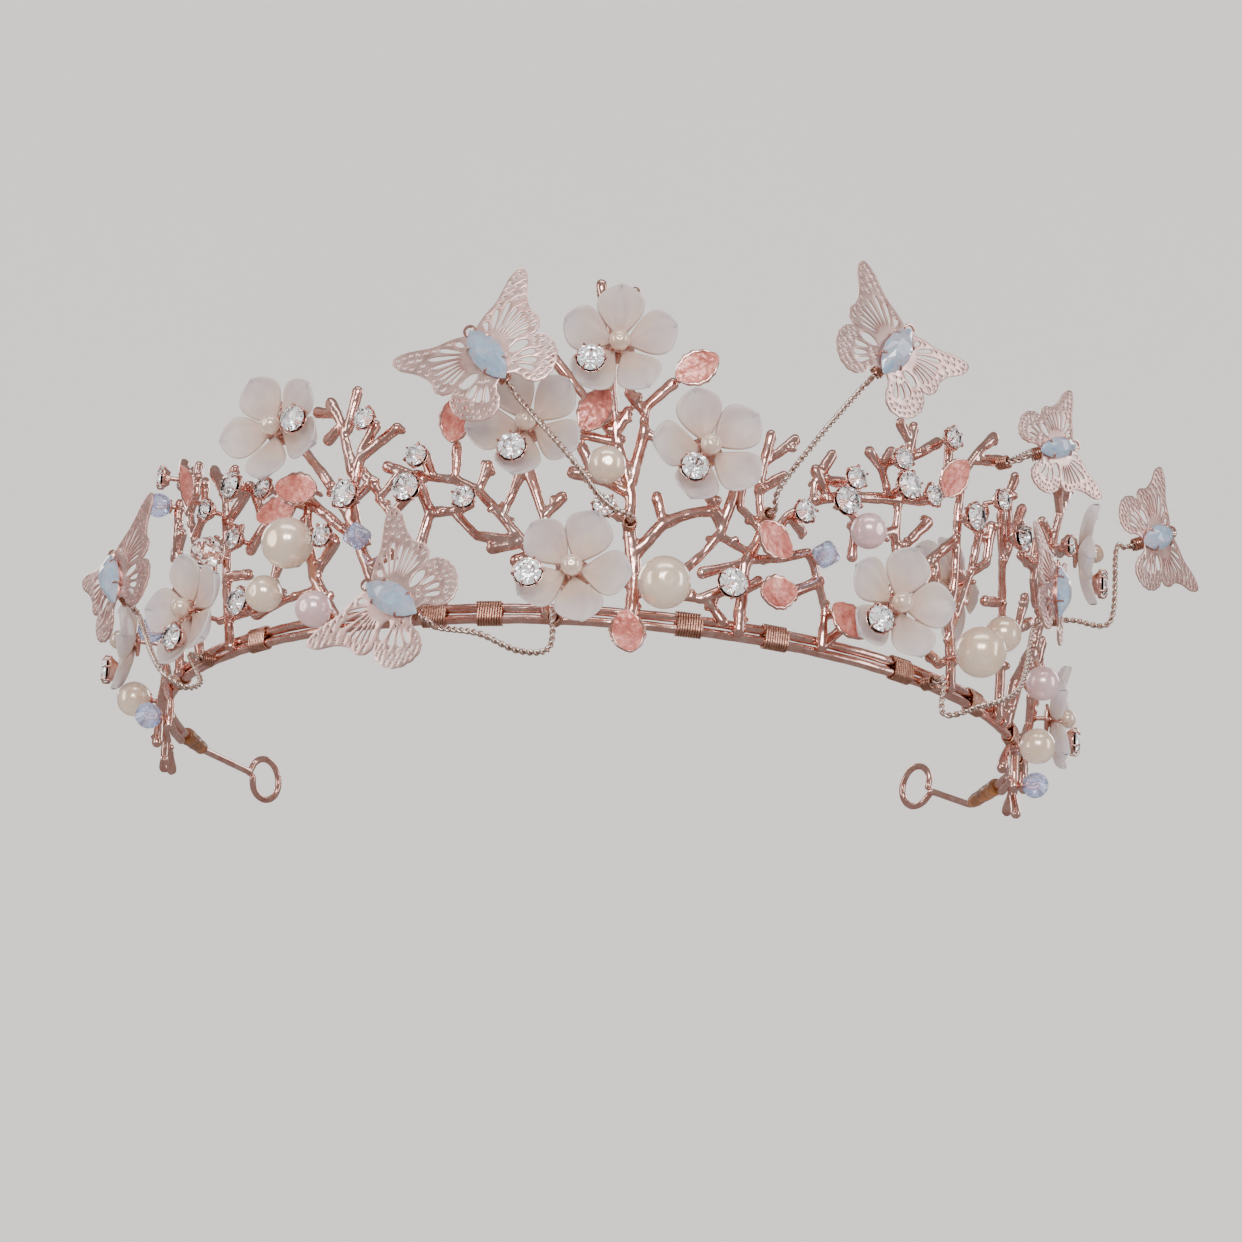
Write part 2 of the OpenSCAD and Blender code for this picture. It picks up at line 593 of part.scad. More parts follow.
module small_pearls() {
    color("cornsilk") beads(SMALL_PEARLS, small_pearl_d);
}

module pink_beads() {
    color("thistle") beads(PINK_BEADS, pink_bead_d);
}

module clear_bead() {
    color("whitesmoke") beads(CLEAR_BEADS, clear_bead_d);
}

module opal_bicones() {
    color("lightsteelblue") for (b = BICONES) at_bead(b) difference() {
        rotate([0, 90, 0]) union() {
            cylinder(h = bicone_d / 2, d1 = bicone_d, d2 = 1.2);
            rotate([180, 0, 0]) cylinder(h = bicone_d / 2, d1 = bicone_d, d2 = 1.2);
        }
        pin_hole(bicone_d);
    }
}

module bead_pins() {
    all_beads = concat(LARGE_PEARLS, SMALL_PEARLS, PINK_BEADS, CLEAR_BEADS, BICONES);
    color("lightsalmon") for (b = all_beads) at_bead(b)
        translate([0, 0, -b[2]]) cylinder(h = b[2] + pin_d / 2, d = pin_d);
}

// ---------- stones ----------

// Shape of a round cut stone: pointed below the girdle, with a flat table above it
module cut_stone(d) {
    pavilion_h = 0.4 * d;
    crown_h = 0.17 * d;
    cylinder(h = pavilion_h, d1 = 0.1 * d, d2 = d);
    translate([0, 0, pavilion_h]) cylinder(h = crown_h, d1 = d, d2 = 0.6 * d);
}

module stones() {
    color("white") {
        for (s = LARGE_STONES) at_bead(s) translate([0, 0, cup_wall]) cut_stone(large_stone_d);
        for (s = SMALL_STONES) at_bead(s) translate([0, 0, cup_wall]) cut_stone(small_stone_d);
        for (f = FLOWERS) if (len(f[7]) > 0)
            on_petals(f) translate([0, 0, cup_wall]) cut_stone(flower_stone_d);
    }
}

// The cup of a stone: its seat is the stone's own cone with a little play
module stone_cup(d) {
    seat_h = 0.3 * d;
    difference() {
        cylinder(h = cup_wall + seat_h, d1 = 0.5 * d + 2 * cup_wall, d2 = d + 2 * cup_wall);
        translate([0, 0, cup_wall - 0.02]) cylinder(h = seat_h + 0.1, d1 = 0.1 * d + 0.1, d2 = 0.86 * d);
    }
}

// A cup on a post that reaches back to the twigs
module posted_cup(d, stand) {
    stone_cup(d);
    translate([0, 0, -stand]) cylinder(h = stand + cup_wall / 2, d = pin_d);
}

module stone_cups() {
    color("lightsalmon") {
        for (s = LARGE_STONES) at_bead(s) posted_cup(large_stone_d, s[2]);
        for (s = SMALL_STONES) at_bead(s) posted_cup(small_stone_d, s[2]);
        for (f = FLOWERS) if (len(f[7]) > 0) on_petals(f) stone_cup(flower_stone_d);
    }
}

// ---------- leaves ----------

module leaves() {
    color("salmon") for (s = LEAVES) translate(spot(s[0], s[1], s[2])) facing(s[0], 0, s[3]) {
        rotate([0, -8, 0]) pressed(blade(leaf_l, leaf_w, 0, 1), leaf_t, petal_cup_r, leaf_l / 3);
        translate([0.9, 0, -s[2]]) cylinder(h = s[2] + leaf_t * 0.7, d = pin_d);
    }
}

// ---------- butterflies ----------

// Height of the opal over the middle of the wings
tray_h = wing_t / 2 + tray_gap;

module on_butterfly(b) {
    translate(at(b[2], b[3] * rise, b[4])) facing(b[2], b[5], b[6]) children();
}

function butterfly_point(b, p) = at(b[2], b[3] * rise, b[4]) + faced(p, b[2], b[5], b[6]);

// The socket behind the tail: its closed end, and its direction towards the mouth
function socket_foot(b) = [0, -2.6 * b[1], -socket_r * cos(socket_tilt) - wing_t / 2];
socket_way = [0, -cos(socket_tilt), -sin(socket_tilt)];

// The winding at the root: where it starts, and its direction away from the band
function root_foot(b) = spot(b[7][0], b[7][1], b[7][2]);
function root_way(b) = unit(at(b[7][0], 0, 1) - at(b[7][0], 0, 0));

// The open tube that a stem's end goes into
module socket() {
    difference() {
        cylinder(h = socket_l, r = socket_r);
        translate([0, 0, socket_wall]) cylinder(h = socket_l, r = stem_d / 2 + stem_play);
    }
}

function stem_route(b) = let (
        root = root_foot(b), out = root_way(b), grip = stem_back + socket_wall,
        foot = socket_foot(b),
        tip = [for (l = [socket_l + 3, socket_l + 1.2, grip]) butterfly_point(b, foot + socket_way * l)])
    concat([root + out * grip, root + out * (socket_l + 0.6), root + out * (socket_l + 2)],
        [for (p = b[8]) at(p[0], p[1] * rise, p[2])], tip);

// A tube swept along a route, its rings turned as little as possible
module swept(route, r) {
    p = smooth(route, 3);
    n = len(p) - 1;
    way = [for (i = [0:n]) unit(p[min(i + 1, n)] - p[max(i - 1, 0)])];
    side = [for (i = 0, s = unit(cross(way[0], [0.3, 0.2, 1])); i <= n;
        i = i + 1, s = i <= n ? unit(s - (s * way[i]) * way[i]) : s) s];
    ring = [for (i = [0:n]) for (k = [0:stem_fn - 1]) let (t = 360 * k / stem_fn)
        p[i] + r * (cos(t) * side[i] + sin(t) * cross(way[i], side[i]))];
    wall = [for (i = [0:n - 1]) for (k = [0:stem_fn - 1]) let (m = (k + 1) % stem_fn)
        [i * stem_fn + k, (i + 1) * stem_fn + k, (i + 1) * stem_fn + m, i * stem_fn + m]];
    ends = [[for (k = [0:stem_fn - 1]) k], [for (k = [stem_fn - 1:-1:0]) n * stem_fn + k]];
    polyhedron(ring, concat(wall, ends));
}

module stem(b) {
    color("silver") swept(stem_route(b), stem_d / 2);
}

module stem_anchors() {
    color("rosybrown") for (b = BUTTERFLIES) translate(root_foot(b)) along(root_way(b)) socket();
}

// A slot in a wing: pointed at the body and blunt at the rim
module slot(fan, s) {
    l = s[2] - s[1];
    w = s[3] / 2;
    translate(fan) rotate(s[0]) translate([s[1], 0])
        polygon([[0, 0], [0.4 * l, w * 0.8], [0.85 * l, w], [l, 0], [0.85 * l, -w], [0.4 * l, -w * 0.8]]);
}

module wing_outline() {
    difference() {
        polygon(concat(smooth(WING, 2), [[-0.3, -3.9], [-0.3, 4.3]]));
        for (s = FORE_SLOTS) slot(FORE_FAN, s);
        for (s = HIND_SLOTS) slot(HIND_FAN, s);
        for (p = WING_HOLES) translate(p) circle(wing_hole_r);
    }
}

// The pointed oval of the opals and of the tray under them
module navette(l, w) {
    r = (l * l + w * w) / (4 * w);
    intersection() {
        translate([r - w / 2, 0]) circle(r);
        translate([w / 2 - r, 0]) circle(r);
    }
}

module wings(b) {
    s = b[1];
    color("pink") on_butterfly(b) {
        for (m = [0, 1]) mirror([m, 0, 0]) rotate([0, wing_bend, 0]) translate([0, 0, -wing_t / 2])
            linear_extrude(wing_t) scale(s) wing_outline();
        linear_extrude(tray_h) navette(opal_l * s * tray_share[0], opal_w * s * tray_share[1]);
        translate(socket_foot(b)) along(socket_way) socket();
    }
}

module opal(b) {
    s = b[1];
    dome_r = 8 * s;
    color("lightsteelblue") on_butterfly(b) translate([0, 0, tray_h]) intersection() {
        linear_extrude(opal_h * s) navette(opal_l * s, opal_w * s);
        translate([0, 0, opal_h * s - dome_r]) sphere(dome_r);
    }
}

// ---------- nodes ----------

headband_upper_wire();
headband_lower_wire();
binding_wraps();
left_end_sleeve();
right_end_sleeve();
left_end_eye();
right_end_eye();
for (t = TREES) tree(t);
for (f = FLOWERS) flower(f);
flower_pegs();
flower_beads();
large_pearls();
small_pearls();
pink_beads();
clear_bead();
opal_bicones();
bead_pins();
stones();
stone_cups();
leaves();
stem_anchors();
for (b = BUTTERFLIES) stem(b);
for (b = BUTTERFLIES) wings(b);
for (b = BUTTERFLIES) opal(b);
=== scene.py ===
import math

import bmesh
import bpy
import numpy as np
from mathutils import Matrix, Vector, noise


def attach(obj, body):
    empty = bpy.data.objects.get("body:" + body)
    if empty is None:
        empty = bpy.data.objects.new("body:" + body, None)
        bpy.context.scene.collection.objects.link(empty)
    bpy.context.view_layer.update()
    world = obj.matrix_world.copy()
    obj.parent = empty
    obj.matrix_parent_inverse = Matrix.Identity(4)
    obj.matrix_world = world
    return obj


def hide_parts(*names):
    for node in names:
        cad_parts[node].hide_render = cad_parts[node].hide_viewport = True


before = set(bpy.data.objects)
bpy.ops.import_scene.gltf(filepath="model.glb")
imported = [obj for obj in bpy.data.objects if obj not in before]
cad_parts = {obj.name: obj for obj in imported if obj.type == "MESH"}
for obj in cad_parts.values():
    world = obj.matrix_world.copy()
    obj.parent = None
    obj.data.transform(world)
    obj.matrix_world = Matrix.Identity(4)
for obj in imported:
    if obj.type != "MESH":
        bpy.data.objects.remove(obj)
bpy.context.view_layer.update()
scene = bpy.context.scene
MM = 0.001


# ---------- camera ----------

def make_camera():
    """The viewing angle of the photograph: from the front, a little below the band, with a slight roll."""
    elevation, roll = math.radians(-17.5), math.radians(3.6)
    target, distance = Vector((0.0036, 0.0, 0.0214)), 0.6
    back = Vector((0.0, -math.cos(elevation), math.sin(elevation)))
    right = Vector((1.0, 0.0, 0.0))
    up = right.cross(-back)
    side = right * math.cos(roll) + up * math.sin(roll)
    top = -right * math.sin(roll) + up * math.cos(roll)
    data = bpy.data.cameras.new("camera")
    data.sensor_width = 36.0
    data.lens = 101.04
    data.clip_start, data.clip_end = 0.01, 20.0
    camera = bpy.data.objects.new("camera", data)
    turn = Matrix((side, top, back)).transposed().to_4x4()
    camera.matrix_world = Matrix.Translation(target + back * distance) @ turn
    scene.collection.objects.link(camera)
    scene.camera = camera


make_camera()


# ---------- places, in millimetres, as in the part's source ----------

BAND_R = 72.0
WIRE_D = 1.5
LOWER_Z = -1.7
BAND_REACH = 104.0
PETAL_L, PETAL_W, PETAL_T, CUP_R, FLOWER_STAND, PETAL_LIFT = 9.3, 7.4, 0.8, 13.0, 3.0, 4.0
DISC_D, DISC_T, CENTRE_D = 5.0, 0.7, 3.2
CENTRE_Z = PETAL_T + 0.55 + CENTRE_D / 2
LARGE_PEARL_D, SMALL_PEARL_D, PINK_D, CLEAR_D, BICONE_D, PIN_D = 8.0, 5.8, 5.6, 5.4, 4.4, 0.8
LARGE_STONE_D, SMALL_STONE_D, FLOWER_STONE_D, CUP_WALL = 4.4, 3.4, 4.2, 0.3
LEAF_L, LEAF_W, LEAF_T = 7.4, 5.6, 0.6
WING_T, WING_BEND, OPAL_L, OPAL_W, OPAL_H = 0.4, 6.0, 10.0, 4.8, 2.0
TRAY_H = WING_T / 2 + 0.25
STEM_D, STEM_PLAY, SOCKET_WALL, STEM_GRIP, STEM_BACK, SOCKET_TILT = 1.0, 0.35, 0.3, 1.3, 0.5, 32.0
SOCKET_L = STEM_GRIP + STEM_BACK + SOCKET_WALL
SOCKET_R = STEM_D / 2 + STEM_PLAY + SOCKET_WALL

FLOWERS = [
    ["top", 1, 0.5, 40, 0, 0, 90, [222, 5.6]],
    ["upper_left", 1, -9, 27, 0, 0, 44, [251, 5]],
    ["upper_right", 1, 11, 25, 0, 0, 110, [239, 5]],
    ["left_high", 1, -42, 31, 0, 15, 48, [0, 4.8]],
    ["centre_low", 1, -3, 4, 2, 0, 67, [198, 6.6]],
    ["right_low", 1, 35, 6, 2, -15, 78, [222, 5.6]],
    ["right_side", 1, 82, 35, 0, 0, 60, [270, 5.4]],
    ["right_end", 1, 83, 6, 0, 0, 20, [240, 5.4]],
    ["left_side", 1, -54.5, 4, 2, 8, 100, [275, 5.2]],
    ["left_end", 1, -82, 9, 2, 0, 60, [270, 5.4]],
    ["inner", -1, 52, 17, 0, 0, 30, []]]
LARGE_PEARLS = [[7, 3, 6], [-38, 11, 5.2], [48, 3, 7]]
SMALL_PEARLS = [[0, 21, 4.2], [-42, 4, 4.2], [55, 9, 4.2], [67, -5, 5], [-82, -1, 4.4]]
PINK_BEADS = [[-34, 0, 4.4], [31, 17, 4], [68, 6, 4.4]]
CLEAR_BEADS = [[-54, 14, 4]]
BICONES = [[-81, 33, 3.5], [-29, 11, 3.5], [26, 12, 3.5], [-74, 8, 3.5], [-70, -8, 3.5], [71, -10, 3.5]]
LARGE_STONES = [[15, 5, 2], [-31, 18, 2], [-23, 18, 2], [36, 26, 2], [47, 25, 2], [57, 26, 2],
                [-47, 4, 2], [-50, 24, 2], [28, 21, 2]]
SMALL_STONES = [[-29, 30, 2], [-22, 23, 2], [-16, 16, 2], [0, 15, 1.8], [23, 18, 2], [29, 25, 2],
                [35, 30, 2], [40, 26, 2], [52, 30, 2], [-44, 22, 2], [-34, 12, 2], [-49, 15, 2],
                [-56, 22, 2], [66, 26, 2], [-81, 38, 2], [73, 32, 2], [42, 36, 2]]
LEAVES = [[-18, 25, 2, 80], [-3, 27, 1.6, 60], [3, -1, 3, -80], [7, 36, 2, 30], [23, 6, 2, 200],
          [28, 5, 2, -40], [42, 27, 2, 60], [-39, 19, 1.6, -160], [-36, 20, 1.6, 170],
          [-62, 25, 2, 100], [22, 11, 2, 150]]
BUTTERFLIES = [
    ["upper_left", 1, -12.5, 35, 15, 0, 38, [3, 13, 0.8], [[0, 14, 10], [-4, 20, 14]]],
    ["upper_right", 1, 31, 45, 12, 0, -30, [19, 17, 0.4], [[19, 20, 9], [23, 29, 10]]],
    ["right_high", 0.75, 58, 41, 13, -30, -69, [53, 37, 0.6], [[53, 38, 12]]],
    ["left_low", 1, -21, -2.5, 13, 0, 60, [-5, -2, -0.6], [[-5, -8, 6], [-8, -9.5, 9], [-12, -7.5, 11]]],
    ["far_right", 0.9, 81, 37.5, 22.5, -40, -62, [82, 23, 0.4], [[82, 23, 15]]],
    ["right_side", 0.9, 59, 17, 13, 10, 0, [45, -2, -0.6], [[44, -8, 6], [46, -7, 10], [52, -2, 12]]],
    ["left_side", 1, -66, 12, 14, 10, 24, [-57, -2, -0.6], [[-52, -8, 6], [-51, -10, 10], [-54, -6, 12.5]]]]
WRAPS = [-69, -47, -20, -13, 11, 22, 41, 57, 72, 83]
WING = [[0, 4.4], [3, 5.8], [6, 6.8], [9.6, 8.8], [12.2, 9.3], [12.2, 7.4], [10.3, 4.8], [9.5, 2.6],
        [9.8, 0.8], [8.6, -0.8], [7, -1], [8.6, -1.8], [9.3, -3.8], [8.5, -6.2], [6.4, -7.9],
        [4.2, -8.2], [2.6, -7], [1.7, -4.9], [0, -4]]


def rot_x(t):
    c, s = math.cos(math.radians(t)), math.sin(math.radians(t))
    return np.array([[1, 0, 0], [0, c, -s], [0, s, c]])


def rot_y(t):
    c, s = math.cos(math.radians(t)), math.sin(math.radians(t))
    return np.array([[c, 0, s], [0, 1, 0], [-s, 0, c]])


def rot_z(t):
    c, s = math.cos(math.radians(t)), math.sin(math.radians(t))
    return np.array([[c, -s, 0], [s, c, 0], [0, 0, 1]])


def facing(a, yaw=0, spin=0):
    return rot_z(a) @ rot_x(90) @ rot_y(yaw) @ rot_z(spin)


def at(a, h, out=0):
    t = math.radians(a)
    return np.array([(BAND_R + out) * math.sin(t), -(BAND_R + out) * math.cos(t), h])


def crown_out(a, h):
    return 1.2 + max(h, 0) * (0.075 + 0.075 * a / 90)


def spot(a, h, d=0):
    return at(a, h, crown_out(a, h) + d)


def unit(v):
    v = np.asarray(v, float)
    return v / np.linalg.norm(v)


def place(points, origin, turn):
    return np.asarray(points, float) @ turn.T + origin


def frame_along(way):
    """A turn that takes +Z to a direction."""
    z = unit(way)
    x = unit(np.cross([0.31, 0.17, 1.0] if abs(z[2]) < 0.9 else [1.0, 0.2, 0.1], z))
    return np.stack([x, np.cross(z, x), z], 1)


def smooth(points, steps):
    p = [np.asarray(q, float) for q in points]
    out = []
    for i in range(len(p) - 1):
        a, b, c, d = p[max(i - 1, 0)], p[i], p[i + 1], p[min(i + 2, len(p) - 1)]
        for k in range(steps):
            t = k / steps
            out.append((2 * b + (c - a) * t + (2 * a - 5 * b + 4 * c - d) * t * t
                        + (3 * b - 3 * c + d - a) * t ** 3) / 2)
    return np.array(out + [p[-1]])


def even(points, step):
    """The same route with points at even steps."""
    p = np.asarray(points, float)
    run = np.concatenate([[0], np.cumsum(np.linalg.norm(np.diff(p, axis=0), axis=1))])
    n = max(2, int(round(run[-1] / step)))
    t = np.linspace(0, run[-1], n + 1)
    return np.stack([np.interp(t, run, p[:, k]) for k in range(p.shape[1])], 1)


# ---------- mesh building ----------

class Shape:
    """Collects vertices and faces, with a material number and two painted values for each vertex."""

    def __init__(self):
        self.v, self.f, self.m, self.n = [], [], [], 0
        self.way, self.edge = [], []

    def add(self, verts, faces, mat=0, way=None, edge=None):
        verts = np.asarray(verts, float)
        self.v.append(verts)
        self.way.append(np.zeros(len(verts)) if way is None else np.asarray(way, float))
        self.edge.append(np.zeros(len(verts)) if edge is None else np.asarray(edge, float))
        mats = mat if isinstance(mat, (list, np.ndarray)) else [mat] * len(faces)
        for face, m in zip(faces, mats):
            self.f.append(tuple(int(i) + self.n for i in face))
            self.m.append(int(m))
        self.n += len(verts)
        return self

    def build(self, name, materials, body, slot, stands_for=(), flat=False, angle=None):
        mesh = bpy.data.meshes.new(name)
        mesh.from_pydata((np.concatenate(self.v) * MM).tolist(), [], self.f)
        for m in materials:
            mesh.materials.append(m)
        mesh.polygons.foreach_set("material_index", self.m)
        mesh.polygons.foreach_set("use_smooth", [not flat] * len(self.f))
        for key, values in (("way", self.way), ("edge", self.edge)):
            a = mesh.attributes.new(key, "FLOAT", "POINT")
            a.data.foreach_set("value", np.concatenate(values).astype(np.float32))
        mesh.update()
        if angle is not None:
            mesh.set_sharp_from_angle(angle=math.radians(angle))
        return keep(name, mesh, body, stands_for)


def keep(name, mesh, body, stands_for=()):
    obj = bpy.data.objects.new(name, mesh)
    scene.collection.objects.link(obj)
    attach(obj, body)
    if stands_for:
        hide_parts(*stands_for)
    return obj


def grid_faces(rows, cols, closed=True, flip=False):
    out = []
    last = cols if closed else cols - 1
    for i in range(rows - 1):
        for k in range(last):
            m = (k + 1) % cols
            q = (i * cols + k, i * cols + m, (i + 1) * cols + m, (i + 1) * cols + k)
            out.append(q[::-1] if flip else q)
    return out


def grid_rim(rows, cols):
    """The points round the edge of an open grid, in order."""
    across = list(range(cols)) + [i * cols + cols - 1 for i in range(1, rows)]
    back = [(rows - 1) * cols + k for k in range(cols - 2, -1, -1)]
    return across + back + [i * cols for i in range(rows - 2, 0, -1)]


def tube(path, radius, sides=10, ends=True):
    """A round wire along a path, with rounded ends."""
    p = np.asarray(path, float)
    n = len(p)
    r = np.full(n, radius, float) if np.isscalar(radius) else np.asarray(radius, float)
    if ends:
        a, b = unit(p[0] - p[1]), unit(p[-1] - p[-2])
        head = [(p[0] + a * r[0] * s, r[0] * math.sqrt(max(1 - s * s, 0.0004))) for s in (0.98, 0.8, 0.45)]
        tail = [(p[-1] + b * r[-1] * s, r[-1] * math.sqrt(max(1 - s * s, 0.0004))) for s in (0.45, 0.8, 0.98)]
        p = np.concatenate([[q for q, _ in head], p, [q for q, _ in tail]])
        r = np.concatenate([[q for _, q in head], r, [q for _, q in tail]])
        n = len(p)
    way = np.gradient(p, axis=0)
    way /= np.linalg.norm(way, axis=1)[:, None]
    side = unit(np.cross(way[0], [0.3, 0.2, 1]))
    t = np.linspace(0, 2 * math.pi, sides, endpoint=False)
    rings = []
    for i in range(n):
        side = unit(side - way[i] * (side @ way[i]))
        other = np.cross(way[i], side)
        rings.append(p[i] + r[i] * (np.cos(t)[:, None] * side + np.sin(t)[:, None] * other))
    verts = np.concatenate(rings)
    faces = grid_faces(n, sides)
    faces.append(tuple(range(sides))[::-1])
    faces.append(tuple(range((n - 1) * sides, n * sides)))
    return verts, faces


def lathe(profile, sides=32):
    """A turned solid about +Z from [radius, height] points; a zero radius closes it."""
    t = np.linspace(0, 2 * math.pi, sides, endpoint=False)
    verts = []
    for r, z in profile:
        r = max(r, 1e-4)
        verts.append(np.stack([r * np.cos(t), r * np.sin(t), np.full(sides, z)], 1))
    faces = grid_faces(len(profile), sides)
    faces.append(tuple(range(sides))[::-1])
    faces.append(tuple(range((len(profile) - 1) * sides, len(profile) * sides)))
    return np.concatenate(verts), faces


def ball(r, rings=28, sides=44, squeeze=0.0):
    """A bead: a sphere with a slightly drawn-in mouth at each pole."""
    t = np.linspace(0, math.pi, rings)
    profile = [(r * math.sin(k), -r * math.cos(k) * (1 - squeeze * math.exp(-((math.sin(k) / 0.25) ** 2))))
               for k in t]
    return lathe(profile, sides)


def hull(points):
    """The convex solid round some points, as flat facets."""
    bm = bmesh.new()
    for p in points:
        bm.verts.new(p)
    bmesh.ops.convex_hull(bm, input=bm.verts)
    bmesh.ops.dissolve_limit(bm, angle_limit=math.radians(1.0), verts=bm.verts, edges=bm.edges)
    bm.verts.ensure_lookup_table()
    used = [v for v in bm.verts if v.link_faces]
    index = {v: i for i, v in enumerate(used)}
    verts = np.array([v.co[:] for v in used])
    faces = [tuple(index[v] for v in f.verts) for f in bm.faces]
    bm.free()
    return verts, faces


def ring(n, r, z, start=0.0):
    return [(r * math.cos(2 * math.pi * (k + start) / n), r * math.sin(2 * math.pi * (k + start) / n), z)
            for k in range(n)]


# ---------- materials ----------

def new_material(name, **values):
    m = bpy.data.materials.new(name)
    m.use_nodes = True
    shader = m.node_tree.nodes["Principled BSDF"]
    for key, value in values.items():
        shader.inputs[key.replace("_", " ")].default_value = value
    return m, m.node_tree, shader


def join(source, shader, key):
    shader.id_data.links.new(source, shader.inputs[key])


def noise_of(tree, scale, detail=4.0, rough=0.55, distort=0.0):
    coords = tree.nodes.new("ShaderNodeTexCoord")
    n = tree.nodes.new("ShaderNodeTexNoise")
    n.inputs["Scale"].default_value = scale
    n.inputs["Detail"].default_value = detail
    n.inputs["Roughness"].default_value = rough
    n.inputs["Distortion"].default_value = distort
    tree.links.new(coords.outputs["Object"], n.inputs["Vector"])
    return n.outputs["Fac"]


def cells_of(tree, scale, feature="F1"):
    coords = tree.nodes.new("ShaderNodeTexCoord")
    n = tree.nodes.new("ShaderNodeTexVoronoi")
    n.feature = feature
    n.inputs["Scale"].default_value = scale
    tree.links.new(coords.outputs["Object"], n.inputs["Vector"])
    return n.outputs["Distance"]


def painted(tree, key):
    n = tree.nodes.new("ShaderNodeAttribute")
    n.attribute_name = key
    return n.outputs["Fac"]


def ramp(tree, source, stops):
    n = tree.nodes.new("ShaderNodeValToRGB")
    while len(n.color_ramp.elements) < len(stops):
        n.color_ramp.elements.new(0.5)
    for e, (pos, colour) in zip(n.color_ramp.elements, stops):
        e.position = pos
        e.color = (*colour, 1.0) if len(colour) == 3 else colour
    tree.links.new(source, n.inputs["Fac"])
    return n.outputs["Color"]


def span(tree, source, low, high, a=0.3, b=0.7):
    n = tree.nodes.new("ShaderNodeMapRange")
    n.inputs["From Min"].default_value = a
    n.inputs["From Max"].default_value = b
    n.inputs["To Min"].default_value = low
    n.inputs["To Max"].default_value = high
    tree.links.new(source, n.inputs["Value"])
    return n.outputs["Result"]


def blended(tree, a, b, factor, mode="MIX"):
    n = tree.nodes.new("ShaderNodeMix")
    n.data_type = "RGBA"
    n.blend_type = mode
    for socket, value in ((n.inputs[6], a), (n.inputs[7], b), (n.inputs[0], factor)):
        if isinstance(value, bpy.types.NodeSocket):
            tree.links.new(value, socket)
        else:
            socket.default_value = value
    return n.outputs[2]


def bumps(tree, shader, sources):
    """Bumps one after another: (source, strength, height in metres)."""
    last = None
    for source, strength, height in sources:
        n = tree.nodes.new("ShaderNodeBump")
        n.inputs["Strength"].default_value = strength
        n.inputs["Distance"].default_value = height
        tree.links.new(source, n.inputs["Height"])
        if last is not None:
            tree.links.new(last, n.inputs["Normal"])
        last = n.outputs["Normal"]
    join(last, shader, "Normal")


def metal(name, stops, rough, scale, bump_h):
    """Polished or cast metal: mottled colour, uneven gloss and fine hammer marks."""
    m, tree, shader = new_material(name, Metallic=1.0)
    colour = ramp(tree, noise_of(tree, scale, 5.0, 0.6, 0.4), stops)
    join(colour, shader, "Base Color")
    join(span(tree, noise_of(tree, scale * 2.3, 4.0), rough[0], rough[1]), shader, "Roughness")
    bumps(tree, shader, [(noise_of(tree, scale * 1.7, 3.0), 0.5, bump_h),
                         (noise_of(tree, scale * 7.0, 2.0), 0.3, bump_h * 0.25)])
    return m


ROSE = metal("rose_gold", [(0.25, (0.70, 0.37, 0.31)), (0.5, (0.88, 0.55, 0.48)), (0.75, (0.96, 0.73, 0.67))],
             (0.09, 0.24), 480, 0.00006)
ROSE_CAST = metal("rose_gold_cast", [(0.25, (0.66, 0.33, 0.28)), (0.48, (0.87, 0.54, 0.47)),
                                     (0.75, (0.97, 0.76, 0.70))], (0.09, 0.23), 400, 0.00007)
COPPER = metal("copper_wire", [(0.3, (0.50, 0.26, 0.19)), (0.7, (0.80, 0.50, 0.40))],
               (0.22, 0.36), 900, 0.00004)
STEM = metal("stem_wire", [(0.3, (0.66, 0.49, 0.42)), (0.7, (0.92, 0.80, 0.74))], (0.18, 0.3), 900, 0.00003)
WINGS = metal("wing_metal", [(0.25, (0.88, 0.53, 0.48)), (0.5, (0.95, 0.66, 0.61)),
                             (0.8, (0.99, 0.80, 0.75))], (0.28, 0.42), 300, 0.00002)


def make_petal():
    m, tree, shader = new_material("frosted_petal", Roughness=0.42, IOR=1.46, Subsurface_Weight=0.4,
        Subsurface_Radius=(1.0, 0.78, 0.7), Subsurface_Scale=0.0012, Transmission_Weight=0.2,
        Coat_Weight=0.2, Coat_Roughness=0.35)
    along = ramp(tree, painted(tree, "way"), [(0.0, (0.56, 0.30, 0.19)), (0.3, (0.61, 0.41, 0.31)),
                                              (0.6, (0.60, 0.50, 0.46)), (1.0, (0.68, 0.62, 0.66))])
    cloud = ramp(tree, noise_of(tree, 260, 4.0, 0.6),
                 [(0.35, (0.50, 0.42, 0.50)), (0.65, (0.76, 0.66, 0.56))])
    join(blended(tree, along, cloud, 0.35), shader, "Base Color")
    join(span(tree, noise_of(tree, 700, 4.0), 0.34, 0.52), shader, "Roughness")
    bumps(tree, shader, [(noise_of(tree, 1500, 5.0), 0.25, 0.00004)])
    return m


def make_pearl(name, warm, cool, glow):
    m, tree, shader = new_material(name, Roughness=0.24, IOR=1.55, Subsurface_Weight=0.1,
        Subsurface_Radius=(1.0, 0.8, 0.65), Subsurface_Scale=0.002, Coat_Weight=glow, Coat_Roughness=0.06,
        Coat_IOR=1.7, Sheen_Weight=0.15, Metallic=0.5)
    colour = ramp(tree, noise_of(tree, 190, 3.0, 0.5, 0.8), [(0.3, warm), (0.7, cool)])
    join(colour, shader, "Base Color")
    join(span(tree, noise_of(tree, 420, 4.0), 0.18, 0.3), shader, "Roughness")
    bumps(tree, shader, [(noise_of(tree, 900, 3.0), 0.12, 0.00003)])
    return m


